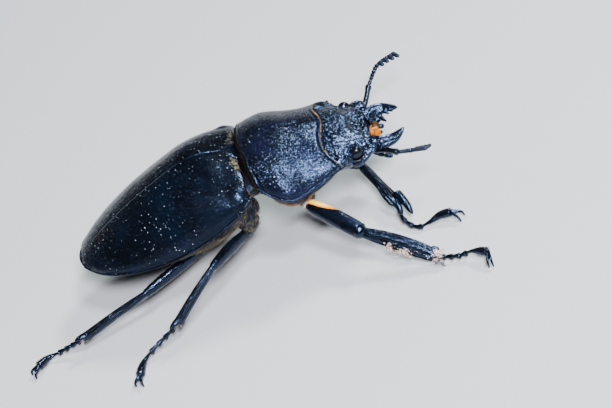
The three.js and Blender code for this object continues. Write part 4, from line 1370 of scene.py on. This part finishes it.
def make_bark_dust():
    """Bark dust caked on the lower side of the right front shin, and round its ankle."""
    knee, ankle, ahead, flat, broad = shin_axes("front_right")
    random = np.random.default_rng(RANDOM_SEED)
    wide = tibia_size("front_right")
    crust = Form()
    for share, reach, count in DUST_HEAPS:
        for t, spread in zip(random.normal(share, reach, count), random.normal(0, 0.26, count)):
            out = random.uniform(0.4, 1.15) * wide(t)
            size = random.uniform(0.035, 0.1)
            middle = knee + (ankle - knee) * t - flat * out + broad * spread
            crust.ball(middle, size * random.uniform(0.6, 1.4, 3), 8, 10)
    curl = np.linspace(0, 1, 24)[:, None]
    below = 0.95 + 0.35 * np.sin(math.pi * curl)
    fibre = knee + (ankle - knee) * (0.4 + 0.16 * curl) - flat * below + broad * 0.2 * np.cos(9 * curl)
    crust.loft(sweep(fibre, ahead, 0.05, 0.05, 8))
    heap = ankle - 0.3 * ahead + 0.1 * flat
    for shift in random.normal(0, 1, (ANKLE_CRUMBS, 3)):
        size = random.uniform(0.04, 0.13)
        crust.ball(heap + shift * (0.38, 0.22, 0.22), size * random.uniform(0.7, 1.3, 3), 8, 10)
    crust = crust.fused(0.03, 1)
    height = 0.08 * clouds(crust.points, 0.12) - 0.06 * pits(crust.points, 0.15)
    piece("bark_dust_leg_front_right", crust.raised(height), material("bark_dust"), "leg")


def make_foot(name):
    line = leg_lines(name)["foot"]
    t = np.linspace(0, 1, len(line))
    reach = foot_reach(t) * closing(t, 0.02, 0.02)

    def cupped(t, angle):
        """A little flatter below, where the pads are."""
        return 1 - 0.08 * hump(np.cos(angle), -1, 0.6)

    foot = Form().loft(sweep(line, (0, 0, 1), reach, reach, 28, cupped))
    foot.raised(-0.02 * pits(foot.points, 0.22) + 0.01 * clouds(foot.points, 0.3))
    soil = 0.55 * (1 - smooth(0.0, 0.5, along_line(foot.points, line)[0])) * np.ones(len(foot.points))
    piece(f"leg_{name}_foot", foot, material("leg_horn"), "leg", f"leg_{name}_tarsus",
          marks={"spot": 0 * soil, "soil": soil})


def make_claws(name):
    leg = LEGS[name]
    pad = np.array(leg["pad"])
    toe = np.array([*leg["toe"], FLOOR_HEIGHT + FLOOR_SLOPE * leg["toe"][0]])
    walk = unit((toe - pad) * (1, 1, 0))
    sideways = np.cross(walk, (0, 0, 1))
    claws = Form()
    t = np.linspace(0, 1, 30)
    for sign in (-1, 1):
        apart = leg.get("splay", 0.42) * sign * sideways
        bend = pad + (toe - pad) * 0.45 + 0.42 * walk + apart + (0, 0, 0.14)
        tip = toe + 1.1 * apart + 0.05 * walk + (0, 0, 0.09)
        line = course([pad - 0.1 * walk, bend, tip], 30)
        reach = (0.27 - 0.2 * t ** 0.8) * closing(t, 0.05, 0.03)
        claws.loft(sweep(line, sideways, reach, reach * 1.15, 18))
    bristle = course([pad, pad + 0.55 * walk - (0, 0, 0.12)], 10)
    claws.loft(sweep(bristle, sideways, 0.09, 0.06, 10))
    zeros = np.zeros(len(claws.points))
    piece(f"leg_{name}_hooks", claws, material("leg_horn"), "leg", f"leg_{name}_claws",
          marks={"spot": zeros, "soil": zeros})


def make_legs():
    for name in LEGS:
        make_coxa(name)
        make_femur(name)
        make_tibia(name)
        make_foot(name)
        make_claws(name)
    make_bark_dust()


# ---------------------------------------------------------------- hair
PATCH = 0.003  # how much of the map one hair takes
UNTIDY = 0.22  # how much hairs stray from their lie
ALONG = "along"  # the lie of hairs that follow their own grid


def everywhere(p, u, v):
    """The same chance for a hair all over."""
    return np.ones_like(u)


class Coat:
    """Many stiff hairs as one mesh, each a thin bent spine that lies along the skin it grows from."""

    def __init__(self, offset):
        self.random = np.random.default_rng(RANDOM_SEED + offset)
        self.form = Form()
        self.maps = []
        self.along = []

    def cover(self, grid, count, chance, length, width, lie, lean, bend, middle, part=(0, 1)):
        """Grows count hairs on a grid of points, where chance(points, u, v) says. lie is the way they point,
        or ALONG for the grid's own way; lean is how far they stand off the skin, from 0 to 1, and bend how
        far they bow back to it. middle is a point that the skin faces away from, and part is the share of
        the map that these hairs take."""
        corner = grid[:-1, :-1]
        along = grid[1:, :-1] - corner
        around = grid[:-1, 1:] - corner
        normal = np.cross(along, around)
        if np.einsum("ijk,ijk->", normal, corner - np.asarray(middle)) < 0:
            normal = -normal
        rows, columns = corner.shape[:2]
        r, c = np.mgrid[0:rows, 0:columns]
        u, v = (r + 0.5) / rows, (c + 0.5) / columns
        weight = (np.linalg.norm(normal, axis=2) * chance(corner, u, v)).ravel()
        pick = self.random.choice(weight.size, count, p=weight / weight.sum())
        r, c = np.divmod(pick, columns)
        f, g = self.random.random((2, count))
        root = corner[r, c] + f[:, None] * along[r, c] + g[:, None] * around[r, c]
        out = unit(normal[r, c])
        way = unit(along[r, c]) if lie is ALONG else np.broadcast_to(np.asarray(lie, float), out.shape)
        way = way + self.random.normal(0, UNTIDY, out.shape)
        way = unit(way - np.einsum("ij,ij->i", way, out)[:, None] * out)
        place = np.stack([part[0] + (part[1] - part[0]) * (c + g) / columns, (r + f) / rows], 1)
        self.grow(root, out, way, length, width, lean, bend, place)

    def grow(self, root, out, way, length, width, lean, bend, place):
        """Adds one three-sided spine at each root, in two lengths with a bend between them. It has three
        points round its root, three round its middle and one at its tip."""
        count = len(root)
        stand = np.clip(lean + self.random.normal(0, 0.1, (count, 1)), 0.05, 1)
        start = unit(out * stand + way * (1 - stand))
        end = unit(start * (1 - bend) + way * bend + out * 0.05)
        size = length * settings().hair_length * self.random.uniform(0.65, 1.2, (count, 1))
        first = unit(np.cross(start, self.random.normal(0, 1, (count, 3))))
        second = np.cross(start, first)
        turn = 2 * math.pi * np.arange(3) / 3
        ring = first[:, None] * np.cos(turn)[:, None] + second[:, None] * np.sin(turn)[:, None]
        low = (root - start * 0.04)[:, None] + ring * width
        half = root + start * size * 0.5
        high = half[:, None] + ring * width * 0.7
        tip = half + end * size * 0.5
        points = np.concatenate([low, high, tip[:, None]], 1)
        base = (np.arange(count) * points.shape[1])[:, None]
        quads = np.concatenate([base + np.array([k, (k + 1) % 3, (k + 1) % 3 + 3, k + 3]) for k in range(3)])
        tris = np.concatenate([base + np.array(t) for t in ((3, 4, 6), (4, 5, 6), (5, 3, 6), (2, 1, 0))])
        self.form.add(points.reshape(-1, 3), quads, tris)
        local = np.array([[0, 0], [0.5, 0], [1, 0], [0, 0.5], [0.5, 0.5], [1, 0.5], [0.5, 1]]) * PATCH
        self.maps.append((place[:, None] * (1 - PATCH) + local).reshape(-1, 2))
        self.along.append(np.tile([0, 0, 0, 0.5, 0.5, 0.5, 1], count))

    def piece(self, name, hair, slot):
        """Puts the whole coat into the scene."""
        piece(name, self.form, material(hair), slot, marks={"along": np.concatenate(self.along)},
              uv=np.vstack(self.maps))


def make_pronotum_fringes():
    grid, dome = pronotum_grid()
    edge = grid[-7:, dome]
    coat = Coat(1)

    def front_rim(p, u, v):
        uneven = smooth(0.0, 0.5, clouds(p.reshape(-1, 3), 0.4).reshape(u.shape))
        return (u > 0.7) * (0.12 + uneven) * smooth(4.6, 3.6, p[..., 1])

    coat.cover(edge - (0.02, 0, 0.03), 1300, front_rim, length=0.15, width=0.010, lie=(1, 0, -0.35),
               lean=0.3, bend=0.6, middle=PRONOTUM["middle"])
    coat.piece("fringe_pronotum_front", "fringe_hair", "lip")
    coat = Coat(2)
    # The hind fringe is drawn near black: painted shade of the gap between the shield and the wing cases.
    edge = grid[:5, dome] + (0.06, 0, -0.22)
    coat.cover(edge, 1500, everywhere, length=0.6, width=0.011, lie=(-1, 0, -0.4),
               lean=0.3, bend=0.6, middle=PRONOTUM["middle"])
    coat.piece("fringe_pronotum_hind", "black_hair", "lip")


def make_wing_base_hair():
    coat = Coat(3)

    def near_front(p, u, v):
        behind = WING["start"] - p[..., 0]
        out = np.abs(p[..., 1])
        reach = 0.3 + 0.3 * hump(out, 1.9, 0.8)
        at_front = 1 - smooth(0.3 * reach, 1.2 * reach, behind)
        return at_front * smooth(0.7, 1.3, out) * (1 - smooth(2.2, 5.0, out))

    for side, count, first in (("right", 150, 0), ("left", 50, 0.5)):
        front_rows = wing_sheet(side)[5:32, 2:108]
        coat.cover(front_rows, count, near_front, length=0.2, width=0.013, lie=(-1, 0, -0.2),
                   lean=0.25, bend=0.6, middle=(-6, 0, -4), part=(first, first + 0.5))
    coat.piece("fur_wing_base", "pale_hair", "lip")


def make_flank_hair():
    coat = Coat(4)

    def flank(p, u, v):
        side = np.abs(p[..., 1])
        return smooth(0.75, 0.35, p[..., 2] - wing_margin(WING["start"] - p[..., 0])) * smooth(2.2, 4.6, side)

    coat.cover(thorax_rings(), 900, flank, length=0.4, width=0.013, lie=(-0.8, 0, -0.4),
               lean=0.3, bend=0.55, middle=THORAX_MIDDLE, part=(0, 0.5))
    polar, turn = np.meshgrid(np.linspace(0.5, 2.7, 24), np.linspace(-2.9, 0.2, 24), indexing="ij")
    shell = np.stack([np.sin(polar) * np.cos(turn), np.sin(polar) * np.sin(turn), np.cos(polar)], -1)
    for start, side in ((0.5, "right"), (0.75, "left")):
        for index, (centre, size) in enumerate(FLANK):
            grid = sided(np.array(centre) + 1.03 * shell * size, side)
            first = start + index / 12
            coat.cover(grid, 90, everywhere, length=0.4, width=0.013, lie=(-0.6, 0, -0.6),
                       lean=0.3, bend=0.5, middle=sided(centre, side), part=(first, first + 1 / 12))
    coat.piece("fur_flank", "straw_hair", "belly")


def make_belly_hair():
    coat = Coat(5)

    def breast(p, u, v):
        return smooth(-1.2, -2.2, p[..., 2]) * (1 - 0.8 * hump(p[..., 1], 0, 0.6))

    coat.cover(thorax_rings(), 4200, breast, length=0.36, width=0.011, lie=(-1, 0, 0),
               lean=0.25, bend=0.6, middle=THORAX_MIDDLE)
    coat.piece("fur_breast", "golden_hair", "belly")
    coat = Coat(6)

    def plates(p, u, v):
        edge = wing_margin(WING["start"] - p[..., 0])
        return smooth(0.5, -0.2, p[..., 2] - edge) * (0.25 + smooth(0.9, 0.1, edge - p[..., 2]))

    coat.cover(abdomen_rings(), 3600, plates, length=0.3, width=0.010, lie=(-1, 0, 0),
               lean=0.25, bend=0.6, middle=(-14, 0, -1))
    coat.piece("fur_hind_body", "golden_hair", "belly")


def make_prothorax_hair():
    coat = Coat(7)

    def under(p, u, v):
        side = np.abs(p[..., 1])
        return smooth(0.0, -0.8, p[..., 2]) * (0.05 + smooth(2.5, 4.0, side) * smooth(0.4, 0.22, u))

    coat.cover(prosternum_rings(), 1500, under, length=0.38, width=0.010, lie=(-0.6, 0, -0.6),
               lean=0.3, bend=0.5, middle=PRONOTUM["middle"])
    coat.piece("fur_prothorax", "rusty_hair", "belly")


def make_mouth_brush():
    """The two brushes of hair between the jaws; the far one is painted in shade, duller and browner than the
    near one.
    """
    # The far brush takes a shaded copy of the near brush's hair: painted shade.
    for side, hair, offset in (("right", "orange_hair", 8), ("left", "brown_hair", 9)):
        coat = Coat(offset)
        turn = np.linspace(-1.3, 1.3, 30)[None]
        tilt = np.linspace(-0.6, 1.0, 20)[:, None]
        dome = np.stack(np.broadcast_arrays(13.05 + 0.38 * np.cos(turn) * np.cos(tilt),
                                            -0.6 + 0.42 * np.sin(turn), -1.3 + 0.3 * np.sin(tilt)), -1)
        coat.cover(sided(dome, side), 420, everywhere, length=0.6, width=0.016, lie=(1, 0, -0.1),
                   lean=0.4, bend=0.5, middle=sided((12.9, -0.6, -1.35), side))
        coat.piece(f"brush_mouth_{side}", hair, "lip")


def foot_rings(name):
    line = leg_lines(name)["foot"]
    reach = foot_reach(np.linspace(0, 1, len(line)))
    return sweep(line, (0, 0, 1), reach, reach, 28)


def closed_rings(rings):
    """The rings with their first column again as the last, so that hairs can grow all round."""
    return np.concatenate([rings, rings[:, :1]], 1)


def on_coxa(p, u, v):
    return smooth(0.1, 0.4, u)


def on_femur(p, u, v):
    """Most at the root and along the inner edge."""
    return (0.25 + 1.4 * hump(u, 0.05, 0.1)) * (0.3 + np.clip(-np.cos(2 * math.pi * v), 0, 1))


def on_tibia(p, u, v):
    """In the furrows between the ridges."""
    return (np.cos(2 * SHIN_RIDGES * math.pi * v) < -0.5) * (0.3 + u) * smooth(0.03, 0.2, u)


def on_foot(p, u, v):
    """On the pads under the short joints, with a few on the last one."""
    padded = (np.abs(v - 0.5) < 0.18) * (u < FOOT_JOINTS * FOOT["joint"]) * ((u / FOOT["joint"]) % 1 > 0.45)
    return padded + 0.06 * (u > 0.6)


LEG_HAIR = [  # rings, where the bristles grow, how many and how long
    (coxa_rings, on_coxa, 500, 0.36),
    (femur_rings, on_femur, 200, 0.26),
    (tibia_rings, on_tibia, 420, 0.22),
    (foot_rings, on_foot, 420, 0.22),
]


def make_leg_hair():
    for index, name in enumerate(LEGS):
        coat = Coat(10 + index)
        for k, (rings_of, chance, count, length) in enumerate(LEG_HAIR):
            rings = rings_of(name)
            first = k / len(LEG_HAIR)
            coat.cover(closed_rings(rings), count, chance, length, width=0.012, lie=ALONG, lean=0.3, bend=0.5,
                       middle=rings.mean((0, 1)), part=(first, first + 1 / len(LEG_HAIR)))
        coat.piece(f"bristles_leg_{name}", "dark_hair", "leg")


def make_feeler_hair():
    coat = Coat(30)
    for index, held in enumerate(FEELERS.values()):
        links = lash_line(held, 120)[:60]
        for k, (line, reach, count) in enumerate(((stalk_line(held, 60), 0.24, 90), (links, 0.19, 110))):
            rings = closed_rings(sweep(line, (0, 0, 1), reach, reach, 16))
            first = 0.5 * index + 0.25 * k
            coat.cover(rings, count, everywhere, length=0.2, width=0.012, lie=ALONG,
                       lean=0.45, bend=0.4, middle=line.mean(0), part=(first, first + 0.25))
    coat.piece("bristles_feelers", "dark_hair", "feeler")


# ---------------------------------------------------------------- stage
# The camera's angles in degrees, its distance and the place it looks at, in millimetres of the row frame.
CAMERA = {"azimuth": 7.08, "elevation": 38.56, "roll": -25.17, "distance": 220.0,
          "target": (8.51, -3.13, 4.63)}
FLOOR_REACH = 1.5  # metres from its middle to its edge
LAMPS = {
    # name: (direction from the beetle, distance in metres, width, height, watts, colour)
    "over_lamp": ((0.36, -0.34, 0.87), 0.42, 0.07, 0.06, 2.6, (0.84, 0.92, 1.0)),
    "far_lamp": ((0.56, 0.41, 0.72), 0.42, 0.08, 0.07, 2.9, (0.84, 0.97, 1.0)),
    "near_lamp": ((0.20, -0.68, 0.71), 0.44, 0.09, 0.08, 6.8, (0.86, 0.88, 1.0)),
}


def camera_axes():
    """The camera's right, up and backward directions."""
    azimuth, elevation, roll = (math.radians(CAMERA[key]) for key in ("azimuth", "elevation", "roll"))
    back = np.array([math.sin(azimuth) * math.cos(elevation), -math.cos(azimuth) * math.cos(elevation),
                     math.sin(elevation)])
    level = np.array([math.cos(azimuth), math.sin(azimuth), 0])
    over = np.cross(back, level)
    right = math.cos(roll) * level + math.sin(roll) * over
    return right, np.cross(back, right), back


def make_floor():
    """A plain pale floor, a little uneven in tone."""

    def look(start):
        place = where(start)
        cloud = haze(place, 60.0).step(0.3, 0.7)
        tone = stage_settings().floor_colour
        return {
            "Base Color": cloud.mix(rgba(tone), rgba([c * 0.985 for c in tone])),
            "Roughness": 0.8 + haze(place, 0.8) * 0.1,
        }

    line = np.linspace(-FLOOR_REACH, FLOOR_REACH, 3)
    x, y = np.meshgrid(line, line, indexing="ij")
    mesh = Form().sheet(np.stack([x, y, 0 * x], -1)).mesh("floor")
    mesh.materials.append(painted("floor_paint", look))
    made = bpy.data.objects.new("floor", mesh)
    bpy.context.scene.collection.objects.link(made)
    if mesh.polygons[0].normal.z < 0:
        mesh.flip_normals()


def make_lamps():
    """Three soft lamps that face the beetle, and an even faint light from all round."""
    for name, (direction, distance, width, height, watts, colour) in LAMPS.items():
        lamp = bpy.data.lights.new(name, "AREA")
        lamp.shape = "RECTANGLE"
        lamp.size = width
        lamp.size_y = height
        lamp.energy = watts * stage_settings().lamp_power
        lamp.color = colour
        made = bpy.data.objects.new(name, lamp)
        made.location = Vector(direction).normalized() * distance
        made.rotation_euler = made.location.to_track_quat("Z", "Y").to_euler()
        bpy.context.scene.collection.objects.link(made)
    world = bpy.data.worlds.new("studio")
    world.use_nodes = True
    background = world.node_tree.nodes["Background"]
    background.inputs["Color"].default_value = (0.86, 0.92, 1.0, 1.0)
    background.inputs["Strength"].default_value = stage_settings().sky_strength
    bpy.context.scene.world = world


def make_camera():
    camera = bpy.data.cameras.new("camera")
    camera.lens = stage_settings().camera_lens
    camera.clip_start = 0.005
    camera.clip_end = 10
    made = bpy.data.objects.new("camera", camera)
    right, up, back = camera_axes()
    place = (np.array(CAMERA["target"]) + CAMERA["distance"] * back) * MM
    axes = np.stack([right, up, back], 1)
    made.matrix_world = Matrix([[*row, shift] for row, shift in zip(axes, place)] + [[0, 0, 0, 1]])
    bpy.context.scene.collection.objects.link(made)
    bpy.context.scene.camera = made


def make_stage():
    make_floor()
    make_lamps()
    make_camera()


# ---------------------------------------------------------------- the add-on
class StagBeetleSettings(bpy.types.PropertyGroup):
    """Sizes, colours and finish of the beetle."""

    plate_thickness: bpy.props.FloatProperty(
        name="Plate thickness", description="Thickness of the wing cases and of the prothorax's shield",
        subtype="DISTANCE", unit="LENGTH", default=0.2 * MM, min=0.05 * MM, max=0.5 * MM, precision=5)
    seam_width: bpy.props.FloatProperty(
        name="Seam width", description="Width of the seam between the two wing cases",
        subtype="DISTANCE", unit="LENGTH", default=0.03 * MM, min=0, max=0.3 * MM, precision=5)
    hair_length: bpy.props.FloatProperty(
        name="Hair length", description="Length of all the hairs, as a share of their usual length",
        subtype="FACTOR", default=1.0, min=0.2, max=2)
    horn_colour: bpy.props.FloatVectorProperty(
        name="Horn", description="Colour of the black horn", subtype="COLOR", default=(0.0008, 0.0011, 0.002),
        min=0, max=1)
    # The bluer clouds are a soft blue sheen painted into the horn's colour.
    painted_sheen_colour: bpy.props.FloatVectorProperty(
        name="Painted blue sheen", description="Colour of the bluer clouds in the horn", subtype="COLOR",
        default=(0.001, 0.0024, 0.006), min=0, max=1)
    eye_colour: bpy.props.FloatVectorProperty(
        name="Eye", description="Colour of the eyes", subtype="COLOR", default=(0.004, 0.003, 0.004),
        min=0, max=1)
    hair_colour: bpy.props.FloatVectorProperty(
        name="Hair", description="Colour of the golden hair", subtype="COLOR", default=(0.48, 0.38, 0.22),
        min=0, max=1)
    spot_colour: bpy.props.FloatVectorProperty(
        name="Thigh spot", description="Colour of the spots on the thighs", subtype="COLOR",
        default=(0.78, 0.24, 0.002), min=0, max=1)
    gloss: bpy.props.FloatProperty(
        name="Roughness", description="Roughness of the wing cases", subtype="FACTOR", default=0.22,
        min=0, max=1)
    blueness: bpy.props.FloatProperty(
        name="Blue gleam", description="How blue the horn's highlights are", subtype="FACTOR", default=0.9,
        min=0, max=1)


class StagBeetleStageSettings(bpy.types.PropertyGroup):
    """Floor, light and camera."""

    floor_colour: bpy.props.FloatVectorProperty(
        name="Floor", description="Colour of the floor", subtype="COLOR", default=(0.36, 0.357, 0.35),
        min=0, max=1)
    camera_lens: bpy.props.FloatProperty(
        name="Lens", description="Focal length of the camera", unit="CAMERA", default=122.16, min=10, max=500)
    lamp_power: bpy.props.FloatProperty(
        name="Lamps", description="Strength of all the lamps", default=1.0, min=0, max=20)
    sky_strength: bpy.props.FloatProperty(
        name="Sky", description="Strength of the even light from all round", default=0.06, min=0, max=5)


class STAG_BEETLE_OT_wing_cases(bpy.types.Operator):
    """Makes the two wing cases and the small plate between their front ends"""

    bl_idname = "stag_beetle.wing_cases"
    bl_label = "Wing Cases"

    def execute(self, context):
        make_wing_cases()
        make_scutellum()
        return {"FINISHED"}


class STAG_BEETLE_OT_prothorax(bpy.types.Operator):
    """Makes the shield of the prothorax and its underside"""

    bl_idname = "stag_beetle.prothorax"
    bl_label = "Prothorax"

    def execute(self, context):
        make_pronotum()
        make_prosternum()
        return {"FINISHED"}


class STAG_BEETLE_OT_hind_body(bpy.types.Operator):
    """Makes the trunk under the wing cases"""

    bl_idname = "stag_beetle.hind_body"
    bl_label = "Hind Body"

    def execute(self, context):
        make_hind_thorax()
        make_hind_body()
        return {"FINISHED"}


class STAG_BEETLE_OT_head(bpy.types.Operator):
    """Makes the head, its eyes, jaws, palps and lip"""

    bl_idname = "stag_beetle.head"
    bl_label = "Head"

    def execute(self, context):
        make_head()
        make_eyes()
        make_jaws()
        make_palps()
        make_lip()
        return {"FINISHED"}


class STAG_BEETLE_OT_feelers(bpy.types.Operator):
    """Makes the two elbowed feelers with their combed clubs"""

    bl_idname = "stag_beetle.feelers"
    bl_label = "Feelers"

    def execute(self, context):
        make_feelers()
        return {"FINISHED"}


class STAG_BEETLE_OT_legs(bpy.types.Operator):
    """Makes the six legs, from the coxae to the claws"""

    bl_idname = "stag_beetle.legs"
    bl_label = "Legs"

    def execute(self, context):
        make_legs()
        return {"FINISHED"}


class STAG_BEETLE_OT_hair(bpy.types.Operator):
    """Makes the fringes, the fur and the bristles"""

    bl_idname = "stag_beetle.hair"
    bl_label = "Hair"

    def execute(self, context):
        make_pronotum_fringes()
        make_wing_base_hair()
        make_flank_hair()
        make_belly_hair()
        make_prothorax_hair()
        make_mouth_brush()
        make_leg_hair()
        make_feeler_hair()
        return {"FINISHED"}


class STAG_BEETLE_OT_stage(bpy.types.Operator):
    """Makes the floor, the lamps and the camera"""

    bl_idname = "stag_beetle.stage"
    bl_label = "Stage"

    def execute(self, context):
        make_stage()
        return {"FINISHED"}


class STAG_BEETLE_PT_panel(bpy.types.Panel):
    """Lists the beetle's settings and the buttons that make its pieces"""

    bl_idname = "STAG_BEETLE_PT_panel"
    bl_label = "Stag Beetle"
    bl_space_type = "VIEW_3D"
    bl_region_type = "UI"
    bl_category = "Stag Beetle"

    def draw(self, context):
        for group in (context.scene.stag_beetle, context.scene.stag_beetle_stage):
            for name in group.__annotations__:
                self.layout.prop(group, name)
        for operator in OPERATORS:
            self.layout.operator(operator.bl_idname)


OPERATORS = (
    STAG_BEETLE_OT_wing_cases, STAG_BEETLE_OT_prothorax, STAG_BEETLE_OT_hind_body, STAG_BEETLE_OT_head,
    STAG_BEETLE_OT_feelers, STAG_BEETLE_OT_legs, STAG_BEETLE_OT_hair, STAG_BEETLE_OT_stage,
)
CLASSES = (StagBeetleSettings, StagBeetleStageSettings, *OPERATORS, STAG_BEETLE_PT_panel)


def register():
    for each in CLASSES:
        bpy.utils.register_class(each)
    bpy.types.Scene.stag_beetle = bpy.props.PointerProperty(type=StagBeetleSettings)
    bpy.types.Scene.stag_beetle_stage = bpy.props.PointerProperty(type=StagBeetleStageSettings)


def unregister():
    del bpy.types.Scene.stag_beetle_stage
    del bpy.types.Scene.stag_beetle
    for each in reversed(CLASSES):
        bpy.utils.unregister_class(each)


def main():
    register()
    for operator in OPERATORS:
        getattr(bpy.ops.stag_beetle, operator.bl_idname.split(".")[1])()


if __name__ == "__main__":
    main()
